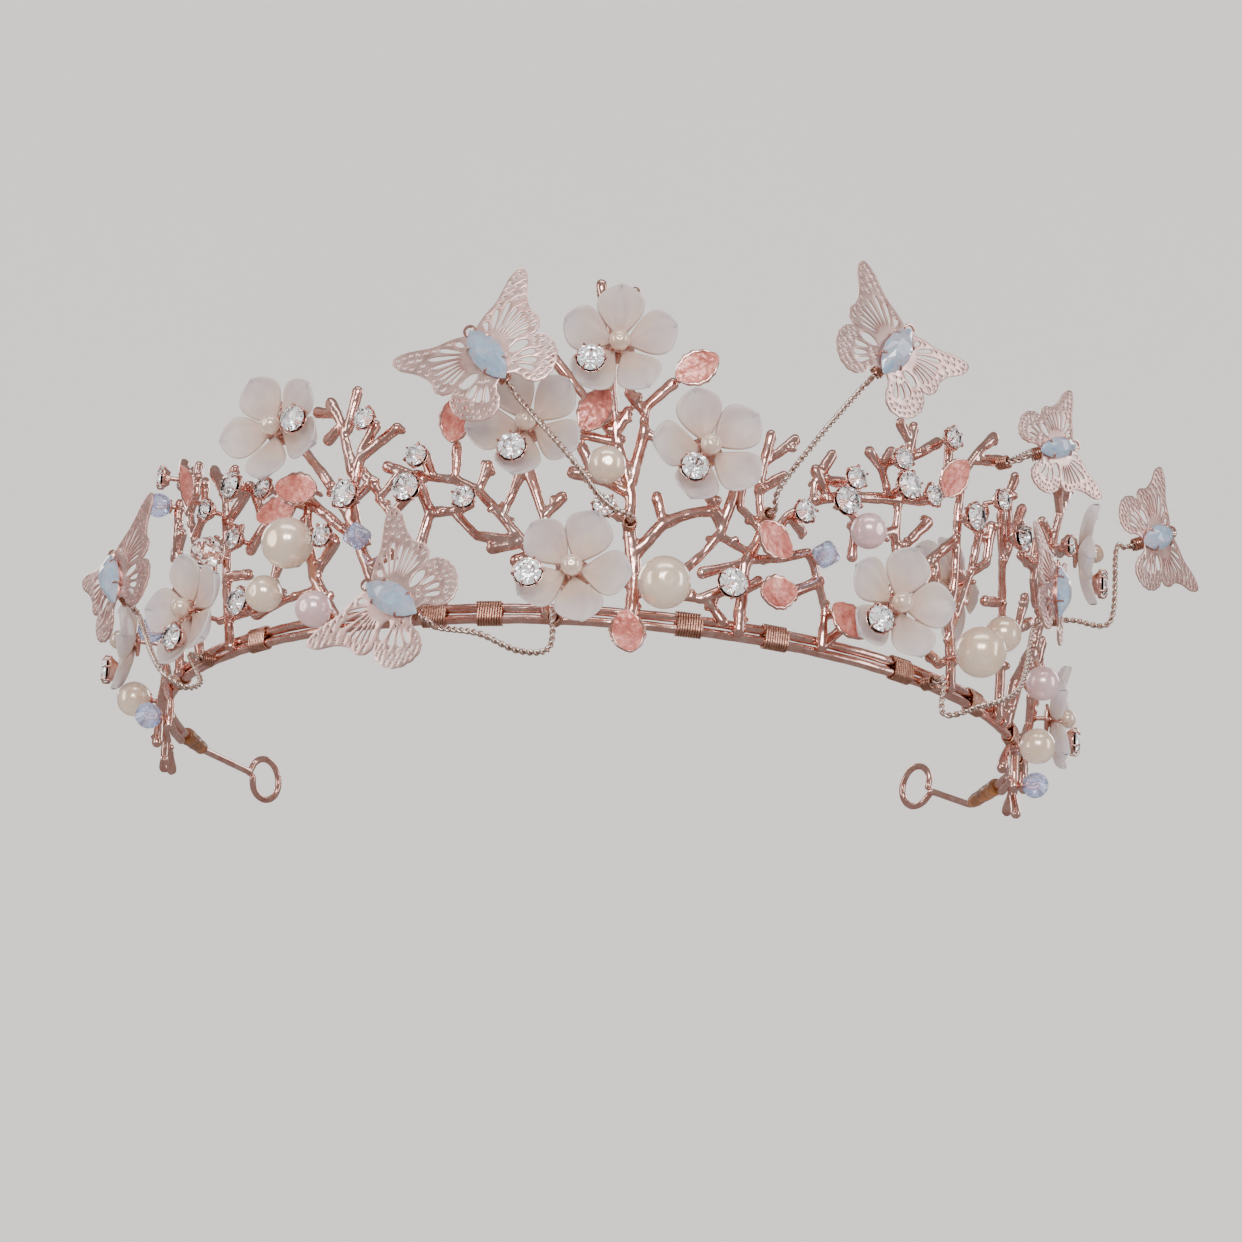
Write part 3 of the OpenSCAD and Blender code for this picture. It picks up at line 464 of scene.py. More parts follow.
def make_opal(name, base, tints, clear):
    m, tree, shader = new_material(name, Roughness=0.08, IOR=1.46, Subsurface_Weight=0.2,
        Subsurface_Radius=(0.6, 0.8, 1.0), Subsurface_Scale=0.0015, Transmission_Weight=clear,
        Coat_Weight=1.0, Coat_Roughness=0.03)
    play = ramp(tree, noise_of(tree, 230, 3.0, 0.6, 1.6), tints)
    milk = ramp(tree, noise_of(tree, 520, 5.0, 0.65, 0.5), [(0.35, base), (0.75, (0.56, 0.70, 0.84))])
    join(blended(tree, milk, play, 0.5), shader, "Base Color")
    join(span(tree, noise_of(tree, 800, 3.0), 0.05, 0.14), shader, "Roughness")
    return m


def make_glass(name, colour, ior):
    m, tree, shader = new_material(name, Roughness=0.0, IOR=ior, Transmission_Weight=1.0)
    tint = ramp(tree, noise_of(tree, 300, 2.0), [(0.3, colour), (0.7, (1.0, 1.0, 1.0))])
    join(tint, shader, "Base Color")
    return m


def make_foil():
    m, tree, shader = new_material("foil", Metallic=1.0, Roughness=0.04)
    tint = ramp(tree, noise_of(tree, 500, 2.0), [(0.3, (0.82, 0.84, 0.88)), (0.7, (0.98, 0.98, 0.98))])
    join(tint, shader, "Base Color")
    return m


def make_enamel():
    m, tree, shader = new_material("leaf_enamel", Roughness=0.3, IOR=1.5, Metallic=0.35, Coat_Weight=0.6,
        Coat_Roughness=0.12, Subsurface_Weight=0.15, Subsurface_Scale=0.001)
    colour = ramp(tree, noise_of(tree, 480, 5.0, 0.65, 0.5),
                  [(0.3, (0.40, 0.08, 0.06)), (0.5, (0.64, 0.20, 0.16)), (0.72, (0.86, 0.40, 0.33))])
    join(colour, shader, "Base Color")
    join(span(tree, noise_of(tree, 1300, 4.0), 0.2, 0.5), shader, "Roughness")
    bumps(tree, shader, [(cells_of(tree, 1500), 0.55, 0.00012), (noise_of(tree, 2600, 3.0), 0.4, 0.00006)])
    return m


def make_sleeve():
    m, tree, shader = new_material("amber_sleeve", Roughness=0.3, IOR=1.5, Coat_Weight=0.4)
    colour = ramp(tree, noise_of(tree, 330, 4.0, 0.6, 0.6),
                  [(0.3, (0.07, 0.024, 0.01)), (0.55, (0.20, 0.07, 0.02)), (0.8, (0.45, 0.17, 0.05))])
    join(colour, shader, "Base Color")
    join(span(tree, noise_of(tree, 900, 3.0), 0.22, 0.45), shader, "Roughness")
    bumps(tree, shader, [(noise_of(tree, 700, 4.0), 0.4, 0.0001)])
    return m


PETAL = make_petal()
PEARL = make_pearl("cream_pearl", (0.86, 0.65, 0.48), (0.95, 0.80, 0.68), 0.9)
CENTRE = make_pearl("centre_pearl", (0.78, 0.58, 0.45), (0.84, 0.68, 0.60), 0.5)
PINK = make_pearl("pink_pearl", (0.80, 0.54, 0.55), (0.88, 0.66, 0.70), 0.15)
OPAL = make_opal("opal_glass", (0.26, 0.36, 0.46),
                 [(0.25, (0.12, 0.24, 0.58)), (0.45, (0.36, 0.50, 0.66)),
                  (0.6, (0.62, 0.50, 0.62)), (0.78, (0.30, 0.62, 0.56))], 0.3)
BICONE = make_opal("opal_crystal", (0.40, 0.50, 0.78), [(0.25, (0.20, 0.32, 0.85)), (0.5, (0.66, 0.62, 0.88)),
                                                        (0.75, (0.62, 0.84, 0.90))], 0.75)
CRYSTAL = make_glass("cut_crystal", (0.96, 0.97, 1.0), 1.75)
BLUSH = make_glass("blush_crystal", (1.0, 0.82, 0.80), 1.6)
FOIL = make_foil()
ENAMEL = make_enamel()
SLEEVE = make_sleeve()


# ---------- coral twigs ----------

def cast_tree(node, seed):
    """A tree as it comes from the mould: limbs flow into each other, with knobs and small buds."""
    rng = np.random.default_rng(seed)
    bm = bmesh.new()
    bm.from_mesh(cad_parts[node].data)
    bmesh.ops.triangulate(bm, faces=bm.faces)
    areas = np.array([f.calc_area() for f in bm.faces]) / MM ** 2
    corners = [[v.co.copy() for v in f.verts] for f in bm.faces]
    normals = [f.normal.copy() for f in bm.faces]
    chance = np.cumsum(areas / areas.sum())
    for _ in range(int(areas.sum() / 34)):
        k = min(int(np.searchsorted(chance, rng.random())), len(corners) - 1)
        a, b = sorted(rng.random(2))
        p = corners[k][0] * a + corners[k][1] * (b - a) + corners[k][2] * (1 - b)
        r = rng.uniform(0.42, 0.72) * MM
        p = p + normals[k] * rng.uniform(-0.1, 0.25) * MM
        bmesh.ops.create_icosphere(bm, subdivisions=2, radius=r, matrix=Matrix.Translation(p))
    mesh = bpy.data.meshes.new(node + "_cast")
    bm.to_mesh(mesh)
    bm.free()
    work = bpy.data.objects.new("work", mesh)
    scene.collection.objects.link(work)
    remesh = work.modifiers.new("remesh", "REMESH")
    remesh.mode = "VOXEL"
    remesh.voxel_size = 0.23 * MM
    soften = work.modifiers.new("soften", "SMOOTH")
    soften.factor, soften.iterations = 0.5, 5
    final = bpy.data.meshes.new_from_object(work.evaluated_get(bpy.context.evaluated_depsgraph_get()))
    bpy.data.objects.remove(work)
    final.name = node + "_cast"
    n = len(final.vertices)
    co, no = np.zeros(n * 3, np.float32), np.zeros(n * 3, np.float32)
    final.vertices.foreach_get("co", co)
    final.vertex_normals.foreach_get("vector", no)
    co, no = co.reshape(-1, 3), no.reshape(-1, 3)
    push = np.array([noise.noise(Vector(p * 520.0)) * 0.13 + noise.noise(Vector(p * 1300.0)) * 0.025
                     + max(0.0, noise.noise(Vector(p * 300.0 + 7.0))) * 0.16 + 0.04
                     for p in co.astype(float)])
    co = co + no * (push * MM)[:, None].astype(np.float32)
    final.vertices.foreach_set("co", co.ravel())
    final.polygons.foreach_set("use_smooth", [True] * len(final.polygons))
    final.update()
    final.materials.clear()
    final.materials.append(ROSE_CAST)
    return keep(node + "_cast", final, "tiara", [node])


for number, name in enumerate(sorted(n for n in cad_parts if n.startswith("coral_"))):
    cast_tree(name, 100 + number)


# ---------- band, windings, sleeves, eyes ----------

def band_wire(name, reach, z, seed):
    angles = np.arange(-reach, reach + 0.01, 0.8)
    path = [at(a, z + 0.03 * math.sin(a * 0.9 + seed), 0.03 * math.sin(a * 1.3 + seed * 2)) for a in angles]
    radius = [WIRE_D / 2 * (1 - 0.025 * (1 + math.sin(a * 2.1 + seed))) for a in angles]
    Shape().add(*tube(path, np.array(radius), 20)).build(
        name + "_drawn", [ROSE], "tiara", "rose_gold", [name])


band_wire("headband_upper_wire", BAND_REACH, 0, 1)
band_wire("headband_lower_wire", BAND_REACH - 5, LOWER_Z, 3)


def stadium(s, r):
    """A point on the loop round both band wires, from 0 to 1: [outwards, up]."""
    straight, arc = -LOWER_Z, math.pi * r
    total = 2 * (straight + arc)
    d = (s % 1.0) * total
    if d < arc:
        return r * math.cos(d / r), r * math.sin(d / r)
    d -= arc
    if d < straight:
        return -r, -d
    d -= straight
    if d < arc:
        return -r * math.cos(d / r), LOWER_Z - r * math.sin(d / r)
    return r, LOWER_Z + (d - arc)


shape = Shape()
for a in WRAPS:
    turns, thread = 10, 0.19
    path = []
    for k in range(turns * 22 + 1):
        s = k / 22
        y, z = stadium(s, WIRE_D / 2 + thread + 0.02)
        x = -2.0 + 4.0 * k / (turns * 22)
        path.append(np.array([x, y * 1.0, z]))
    local = [rot_z(a) @ np.array([p[0], -BAND_R - p[1], p[2]]) for p in path]
    shape.add(*tube(local, thread, 7))
    for y in (-0.42, 0.42):
        bar = [rot_z(a) @ np.array([x, -BAND_R - y, LOWER_Z / 2]) for x in (-1.9, -1.0, 0.0, 1.0, 1.9)]
        shape.add(*tube(bar, np.array([0.12, 0.33, 0.36, 0.33, 0.12]), 12))
shape.build("binding_coils", [COPPER], "tiara", "copper_wire", ["binding_wraps"])


def sleeve_point(side, l):
    a = math.radians(side * BAND_REACH)
    return at(side * BAND_REACH, 0) + side * (l - BAND_R * math.radians(3)) * np.array(
        [math.cos(a), math.sin(a), 0])


def tail(side, length, eye_h, key):
    p, q = sleeve_point(side, 0), sleeve_point(side, length)
    turn = frame_along(q - p)
    profile = [(0.82, 0.0)]
    for k in range(25):
        t = k / 24
        r = 1.5 + (1.1 - 1.5) * t + 0.05 * math.sin(17 * t + side) + 0.03 * math.sin(41 * t)
        r *= 1 - 0.35 * math.exp(-((t / 0.03) ** 2)) * 0.5 - 0.35 * math.exp(-(((1 - t) / 0.04) ** 2))
        profile.append((min(r, 1.5), t * length))
    profile.append((0.6, length - 0.02))
    v, f = lathe(profile, 28)
    Shape().add(place(v, p, turn), f).build(
        key + "_end_tube", [SLEEVE], "tiara", "sleeve", [key + "_end_sleeve"])

    eye_a = side * 125
    centre = at(eye_a, eye_h)
    bend = sleeve_point(side, length + 1)
    inside = sleeve_point(side, length - 2.5)
    turn = facing(eye_a)
    r = 3.62
    out = unit(bend - centre)
    start = math.degrees(math.atan2(out @ turn[:, 1], out @ turn[:, 0]))
    wire = 0.6
    loop = []
    for k in range(0, 57):
        t = start + 6 + k * (346 / 56)
        lift = 0.45 * math.exp(-(k / 4.0) ** 2) - 0.45 * math.exp(-((56 - k) / 4.0) ** 2)
        away = 1 + 0.16 * abs(math.cos(math.radians(t - start) / 2)) ** 6
        loop.append(centre + turn @ np.array([away * r * math.cos(math.radians(t)),
                                              away * r * math.sin(math.radians(t)), lift]))
    neck = centre + out * (r + 2.2)
    path = smooth([inside, bend + (inside - bend) * 0.25, bend, (bend + neck) / 2, neck, loop[0], loop[4]], 6)
    path = np.concatenate([path, loop[5:]])
    Shape().add(*tube(even(path, 0.35), wire, 14)).build(
        key + "_end_loop", [ROSE], "tiara", "rose_gold", [key + "_end_eye"])


tail(-1, 9.0, 0.0, "left")
tail(1, 13.0, 6.5, "right")


# ---------- flowers ----------

def cupped(x, y):
    return CUP_R - np.sqrt(np.maximum(CUP_R ** 2 - (x - 3.0) ** 2 - y ** 2, 1.0))


def petal(length, width, notch, twist, rng, rows=26, cols=19):
    """A thin cupped petal, round-edged, with a notch at its tip and faint ribs."""
    s = (1 - np.cos(np.linspace(0, math.pi, rows))) / 2
    v = np.sin(np.linspace(-math.pi / 2, math.pi / 2, cols))
    S, V = np.meshgrid(s, v, indexing="ij")
    half = width / 2 * np.maximum(np.sin(math.pi * S ** 1.55), 0) ** 0.68
    half = np.where(S < 0.03, width * 0.06, half)
    y = V * half
    near_tip = np.clip((S - 0.55) / 0.45, 0, 1)
    x = 1.0 + (length - 1.0) * S - notch * near_tip ** 2 * np.exp(-(V / 0.22) ** 2)
    edge = np.maximum(np.abs(V), np.clip((S - 0.8) / 0.2, 0, 1) ** 2)
    thick = PETAL_T * (0.5 + 0.52 * np.sqrt(np.maximum(1 - edge ** 2, 0)))
    low = cupped(x, y) + 0.05
    phase = rng.uniform(0, 6.28)
    ruffle = 0.16 * S ** 2 * np.sin(2.2 * math.pi * V + phase) + twist * V * S + 0.8 * S * (V ** 2 - 0.45)
    ribs = 0.06 * np.cos(V * 15) * np.sin(math.pi * S) \
        - 0.16 * np.exp(-(V / 0.12) ** 2) * np.sin(math.pi * S ** 0.8)
    mid = low + PETAL_T * 0.5 + ruffle
    top = np.stack([x, y, mid + thick / 2 + ribs * (1 - edge ** 4)], -1).reshape(-1, 3)
    bottom = np.stack([x, y, mid - thick / 2 + 0.4 * ribs * (1 - edge ** 4)], -1).reshape(-1, 3)
    rim = grid_rim(rows, cols)
    out = np.zeros((len(rim), 3))
    cx = np.array([5.2, 0.0, 0.0])
    for i, k in enumerate(rim):
        mid_p = (top[k] + bottom[k]) / 2
        way = mid_p - cx
        way[2] = 0
        out[i] = mid_p + unit(way) * 0.2
    faces = grid_faces(rows, cols, closed=False, flip=True)
    faces += [tuple(i + rows * cols for i in q[::-1]) for q in faces]
    base = 2 * rows * cols
    n = len(rim)
    for i in range(n):
        j = (i + 1) % n
        faces.append((rim[i], rim[j], base + j, base + i))
        faces.append((base + i, base + j, rows * cols + rim[j], rows * cols + rim[i]))
    verts = np.concatenate([top, bottom, out])
    way = np.concatenate([S.ravel(), S.ravel(), [S.ravel()[k] for k in rim]])
    rims = np.concatenate([edge.ravel(), edge.ravel(), np.ones(n)])
    return verts, faces, way, rims


def flower_frame(f):
    return spot(f[2], f[3], f[1] * (FLOWER_STAND + f[4])), facing(f[2], f[5] + (180 if f[1] < 0 else 0), f[6])


backs, centres = Shape(), Shape()
for number, f in enumerate(FLOWERS):
    rng = np.random.default_rng(300 + number)
    origin, turn = flower_frame(f)
    shape = Shape()
    for i in range(5):
        v, faces, way, rims = petal(
            PETAL_L * rng.uniform(0.96, 1.0), PETAL_W * rng.uniform(0.90, 0.98),
            rng.choice([0.0, 0.35, 0.9], p=[0.35, 0.35, 0.3]), rng.uniform(-0.25, 0.25), rng)
        local = rot_z(i * 72 + rng.uniform(-2, 2)) @ rot_y(-PETAL_LIFT - 2 * math.sin(math.radians(140 * i)))
        shape.add(place(place(v, np.zeros(3), local), origin, turn), faces, 0, way, rims)
    shape.build("petals_" + f[0], [PETAL], "tiara", "petal", ["flower_" + f[0]])

    disc = [(0.4, -DISC_T - 0.12), (1.6, -DISC_T - 0.1), (DISC_D / 2 - 0.15, -DISC_T),
            (DISC_D / 2, -DISC_T * 0.6), (DISC_D / 2 - 0.1, -0.15),
            (1.4, 0.05), (1.2, 0.8), (1.35, 1.0), (0.6, 1.1)]
    v, faces = lathe(disc, 36)
    ripple = 1 + 0.05 * np.cos(10 * np.arctan2(v[:, 1], v[:, 0]))
    v[:, :2] *= ripple[:, None]
    backs.add(place(v, origin, turn), faces)
    peg = [np.array([0, 0, z]) for z in np.linspace(-FLOWER_STAND - f[4], CENTRE_Z - 0.3, 8)]
    v, faces = tube(peg, PIN_D / 2, 12)
    backs.add(place(v, origin, turn), faces)
    for k in range(6):
        t = k * 60 + 12
        claw = [rot_z(t) @ np.array(q)
                for q in ([1.1, 0, 0.85], [1.55, 0, 1.25], [1.72, 0, 1.9], [1.62, 0, 2.45])]
        v, faces = tube(smooth(claw, 4), 0.14, 8)
        backs.add(place(v, origin, turn), faces)
    v, faces = ball(CENTRE_D / 2, 24, 36, 0.08)
    centres.add(place(v + [0, 0, CENTRE_Z], origin, turn), faces)
backs.build("flower_backs", [ROSE], "tiara", "rose_gold", ["flower_pegs"])
centres.build("flower_centres", [CENTRE], "tiara", "centre_bead", ["flower_beads"])


# ---------- beads ----------

def bead_set(name, node, places, d, material, slot, rings=40, sides=64):
    shape = Shape()
    for b in places:
        v, faces = ball(d / 2, rings, sides, 0.05)
        shape.add(place(v, spot(*b), facing(b[0]) @ rot_x(8) @ rot_y(5)), faces)
    shape.build(name, [material], "tiara", slot, [node])


bead_set("pearls_large", "large_pearls", LARGE_PEARLS, LARGE_PEARL_D, PEARL, "cream_pearl")
bead_set("pearls_small", "small_pearls", SMALL_PEARLS, SMALL_PEARL_D, PEARL, "cream_pearl")
bead_set("beads_pink", "pink_beads", PINK_BEADS, PINK_D, PINK, "pink_bead")

shape = Shape()
for b in CLEAR_BEADS:
    r = CLEAR_D / 2
    points = ring(10, r * 0.42, -r * 0.9) + ring(10, r * 0.8, -r * 0.58, 0.5) + ring(10, r, -r * 0.08) \
        + ring(10, r, r * 0.1, 0.5) + ring(10, r * 0.78, r * 0.6) + ring(10, r * 0.4, r * 0.9, 0.5)
    v, faces = hull(points)
    shape.add(place(v, spot(*b), facing(b[0], 0, 14)), faces)
shape.build("bead_faceted", [BLUSH], "tiara", "clear_bead", ["clear_bead"], flat=True)

shape = Shape()
for b in BICONES:
    r = BICONE_D / 2
    points = ring(8, 0.62, -r) + ring(8, r * 0.62, -r * 0.52, 0.5) + ring(16, r * 0.985, -0.12) \
        + ring(16, r * 0.985, 0.12) + ring(8, r * 0.62, r * 0.52, 0.5) + ring(8, 0.62, r)
    v, faces = hull(points)
    shape.add(place(v @ rot_y(90).T, spot(*b), facing(b[0])), faces)
shape.build("bicones_opal", [BICONE], "tiara", "opal", ["opal_bicones"], flat=True)

shape = Shape()
PINNED = ((LARGE_PEARLS, LARGE_PEARL_D), (SMALL_PEARLS, SMALL_PEARL_D), (PINK_BEADS, PINK_D),
          (CLEAR_BEADS, CLEAR_D), (BICONES, BICONE_D))
for b, d in [(b, d) for beads, d in PINNED for b in beads]:
    turn = facing(b[0])
    v, faces = tube([np.array([0, 0, z]) for z in np.linspace(-b[2], 0.0, 6)], PIN_D / 2, 12)
    shape.add(place(v, spot(*b), turn), faces)
    cap = [(r, h - d / 2) for r, h in ((0.42, -0.25), (0.8, -0.15), (1.25, 0.12), (1.3, 0.3), (0.5, 0.2))]
    v, faces = lathe(cap, 24)
    shape.add(place(v, spot(*b), turn), faces)
shape.build("head_pins", [ROSE], "tiara", "rose_gold", ["bead_pins"])


# ---------- stones in their cups ----------

def brilliant(d):
    """A round brilliant: table, crown, girdle and pavilion; the facets under the girdle are foiled."""
    girdle = 0.4 * d
    points = ring(8, 0.29 * d, 0.57 * d) + ring(8, 0.405 * d, 0.505 * d, 0.5) \
        + ring(16, 0.495 * d, girdle + 0.02 * d) \
        + ring(16, 0.495 * d, girdle - 0.01 * d) + ring(8, 0.30 * d, 0.19 * d, 0.5) + ring(8, 0.05 * d, 0.0)
    v, faces = hull(points)
    mats = [1 if np.mean([v[i][2] for i in q]) < girdle - 0.02 * d else 0 for q in faces]
    return v, faces, mats


def cup(d, post):
    """A thin cup with six claws over the stone's edge, on its post."""
    h = 0.3 * d
    parts = []
    low, high = 0.25 * d + CUP_WALL, 0.5 * d + CUP_WALL
    profile = [(0.3, 0.0), (low * 0.96, 0.0), (low, 0.08), (low + (high - low) * 0.5, 0.5 * (CUP_WALL + h)),
               (high - 0.05, CUP_WALL + h - 0.1), (high - 0.12, CUP_WALL + h),
               (high - 0.24, CUP_WALL + h - 0.06), (low - 0.1, CUP_WALL + 0.25 * h), (0.3, CUP_WALL)]
    v, faces = lathe(profile, 32)
    v[:, :2] *= (1 + 0.03 * np.cos(12 * np.arctan2(v[:, 1], v[:, 0])))[:, None]
    parts.append((v, faces))
    for k in range(6):
        turn = rot_z(k * 60 + 30)
        claw = [turn @ np.array([r, 0, CUP_WALL + z])
                for r, z in ((high - 0.12, h * 0.7), (high - 0.02, 0.42 * d), (0.475 * d, 0.5 * d),
                             (0.4 * d, 0.545 * d))]
        parts.append(tube(smooth(claw, 4), np.linspace(0.19, 0.15, 13), 8))
    if post:
        parts.append(tube([np.array([0, 0, z]) for z in np.linspace(-post, 0.1, 5)], PIN_D / 2, 12))
    return parts


gems, cups = Shape(), Shape()


def set_stone(d, origin, turn, post):
    v, faces, mats = brilliant(d)
    gems.add(place(v + [0, 0, CUP_WALL], origin, turn), faces, mats)
    for v, faces in cup(d, post):
        cups.add(place(v, origin, turn), faces)


LIMB_STONES = [(s, LARGE_STONE_D) for s in LARGE_STONES] + [(s, SMALL_STONE_D) for s in SMALL_STONES]
for number, (s, d) in enumerate(LIMB_STONES):
    set_stone(d, spot(*s), facing(s[0]) @ rot_z(17 * number), s[2])
for number, f in enumerate(f for f in FLOWERS if f[7]):
    origin, turn = flower_frame(f)
    spin, way = math.radians(f[7][0] - f[6]), f[7][1]
    lift = PETAL_T + way * way / (2 * CUP_R) + way * math.tan(math.radians(PETAL_LIFT)) + 0.25
    local = np.array([way * math.cos(spin), way * math.sin(spin), lift])
    set_stone(FLOWER_STONE_D, origin + turn @ local, turn @ rot_z(23 * number), 0)
gems.build("cut_stones", [CRYSTAL, FOIL], "tiara", "stone", ["stones"], flat=True)
cups.build("claw_cups", [ROSE], "tiara", "rose_gold", ["stone_cups"])


# ---------- leaves ----------

def leaf(rng, rows=30, cols=21):
    """A cast leaf: a rounded rim of metal round a hollow of rough enamel, with a rib and side ribs."""
    s = (1 - np.cos(np.linspace(0, math.pi, rows))) / 2
    v = np.sin(np.linspace(-math.pi / 2, math.pi / 2, cols))
    S, V = np.meshgrid(s, v, indexing="ij")
    half = np.maximum(LEAF_W / 2 * np.maximum(np.sin(math.pi * S), 0) ** 0.62, 0.12)
    half *= 1 + 0.04 * np.sin(S * 31 + rng.uniform(0, 6))
    x, y = LEAF_L * S, V * half
    edge = np.maximum(np.abs(V), np.abs(2 * S - 1) ** 3)
    hollow = 13.0 - np.sqrt(13.0 ** 2 - (x - LEAF_L / 3) ** 2 - y ** 2)
    rim = np.exp(-((edge - 0.9) / 0.08) ** 2) * 0.16
    rib = 0.16 * np.exp(-(V / 0.09) ** 2) \
        + 0.09 * np.maximum(np.cos((S * 5 + np.abs(V) * 1.3) * 2 * math.pi), 0) ** 3
    rough = np.array([noise.noise(Vector((a * 2.1 + rng.uniform(0, 1e-3), b * 2.1, 3.7))) for a, b in
                      zip(x.ravel(), y.ravel())]).reshape(x.shape)
    top_z = hollow + LEAF_T * (0.55 + 0.45 * (1 - edge ** 6)) + rim + (rib + 0.12 * rough) * (1 - edge ** 3)
    low_z = hollow + LEAF_T * 0.25 * edge ** 4
    top = np.stack([x, y, top_z], -1).reshape(-1, 3)
    low = np.stack([x, y, low_z], -1).reshape(-1, 3)
    faces = grid_faces(rows, cols, closed=False, flip=True)
    n = rows * cols
    mats = [0 if np.mean([edge.ravel()[i] for i in q]) > 0.84 else 1 for q in faces]
    faces += [tuple(i + n for i in q[::-1]) for q in faces]
    mats += [0] * (len(faces) - len(mats))
    loop = grid_rim(rows, cols)
    for i, a in enumerate(loop):
        b = loop[(i + 1) % len(loop)]
        faces.append((a, b, n + b, n + a))
        mats.append(0)
    return np.concatenate([top, low]), faces, mats


shape = Shape()
for number, s in enumerate(LEAVES):
    rng = np.random.default_rng(500 + number)
    v, faces, mats = leaf(rng)
    origin, turn = spot(*s[:3]), facing(s[0], 0, s[3])
    shape.add(place(v @ rot_y(-8).T, origin, turn), faces, mats)
    v, faces = tube([np.array([0.9, 0, z]) for z in np.linspace(-s[2], 0.4, 4)], PIN_D / 2, 12)
    shape.add(place(v, origin, turn), faces, 0)
shape.build("leaves_cast", [ROSE, ENAMEL], "tiara", "leaf", ["leaves"])


# ---------- butterflies ----------

def outline_of_wing():
    line = smooth(WING, 8)
    n = len(line)
    out = []
    for i, p in enumerate(line):
        a, b = line[max(i - 1, 0)], line[min(i + 1, n - 1)]
        t = b - a
        normal = np.array([-t[1], t[0]]) / max(np.linalg.norm(t), 1e-6)
        run = np.linalg.norm(np.diff(line[:i + 1], axis=0), axis=1).sum() if i else 0.0
        if p[1] < 0 and p[0] > 1.8:
            p = p + normal * (0.16 * abs(math.sin(run * 1.9)) - 0.08)
        out.append(p)
    return np.array(out)


def slot_loop(centre, angle, start, stop, width, blunt=False):
    l, w = stop - start, width / 2
    if blunt:
        t = np.linspace(0, 2 * math.pi, 26, endpoint=False)
        pts = np.stack([l / 2 + l / 2 * np.cos(t), w * np.sin(t) * (1 + 0.15 * np.cos(t))], 1)
    else:
        side = [(0.2, 0.55), (0.45, 0.85), (0.75, 1.0), (0.93, 0.8), (1.0, 0.25)]
        pts = np.array([[0, 0]] + [[x * l, y * w] for x, y in side] + [[x * l, -y * w] for x, y in side[::-1]])
    c, s = math.cos(math.radians(angle)), math.sin(math.radians(angle))
    pts = pts + [start, 0]
    return pts @ np.array([[c, s], [-s, c]]) + centre


def inside(p, poly):
    hit = False
    for (x1, y1), (x2, y2) in zip(poly, np.roll(poly, -1, axis=0)):
        if (y1 > p[1]) != (y2 > p[1]) and p[0] < (x2 - x1) * (p[1] - y1) / (y2 - y1) + x1:
            hit = not hit
    return hit


def clear_slot(edge, centre, angle, start, stop, width):
    """A slot cut short until it keeps a rim of metal round it."""
    while stop - start > 0.6:
        loop = slot_loop(centre, angle, start, stop, width)
        if min(np.linalg.norm(edge - p, axis=1).min() for p in loop) > 0.5:
            return [loop]
        stop -= 0.2
    return []


def wing_pattern():
    edge = outline_of_wing()
    rim = even(edge, 0.1)
    loops = []
    fore, hind = np.array([1.0, 1.0]), np.array([0.8, -1.2])
    for angle, a, b, w in [(-9, 2.9, 6.2, 0.55), (-1, 3.0, 6.9, 0.5), (7, 3.0, 7.2, 0.5), (15, 3.0, 7.4, 0.5),
                           (24, 2.9, 7.6, 0.6), (35, 2.7, 8.0, 0.7), (47, 2.7, 6.4, 0.7),
                           (66, 2.7, 4.9, 0.8)]:
        loops += clear_slot(rim, fore, angle, a, b, w)
    for angle, a, b, w in [(-6, 7.0, 8.5, 0.5), (2, 7.6, 9.0, 0.5), (11, 8.0, 9.6, 0.55),
                           (19, 8.2, 10.2, 0.55)]:
        loops += clear_slot(rim, fore, angle, a, b, w)
    loops.append(slot_loop(hind, -4, 2.2, 5.4, 1.5, True))
    for angle, a, b, w in [(-2, 5.9, 7.0, 0.8), (-24, 3.4, 5.9, 1.0), (-39, 3.6, 6.1, 0.95),
                           (-53, 3.4, 6.0, 0.85), (-66, 3.0, 5.9, 0.75), (-79, 3.4, 5.2, 0.5)]:
        loops += clear_slot(rim, hind, angle, a, b, w)
    taken = [q for loop in loops for q in np.concatenate([loop, (loop + np.roll(loop, -1, axis=0)) / 2])]
    closed = np.concatenate([edge, [[0, -3.9], [0, 4.3]]])
    for inset, r, step in [(0.66, 0.2, 1.25), (1.6, 0.24, 1.45), (2.6, 0.22, 1.6)]:
        line = even(edge, step)
        for i in range(1, len(line) - 1):
            t = line[i + 1] - line[i - 1]
            p = line[i] + np.array([t[1], -t[0]]) / np.linalg.norm(t) * inset
            if p[0] < 2.0 or not inside(p, closed):
                continue
            if min(np.linalg.norm(edge - p, axis=1)) < inset * 0.86:
                continue
            if min(np.linalg.norm(np.array(taken) - p, axis=1)) < r + 0.24:
                continue
            t = np.linspace(0, 2 * math.pi, 12, endpoint=False)
            loop = p + r * np.stack([np.cos(t), np.sin(t)], 1)
            loops.append(loop)
            taken.extend(loop)
    return closed, loops


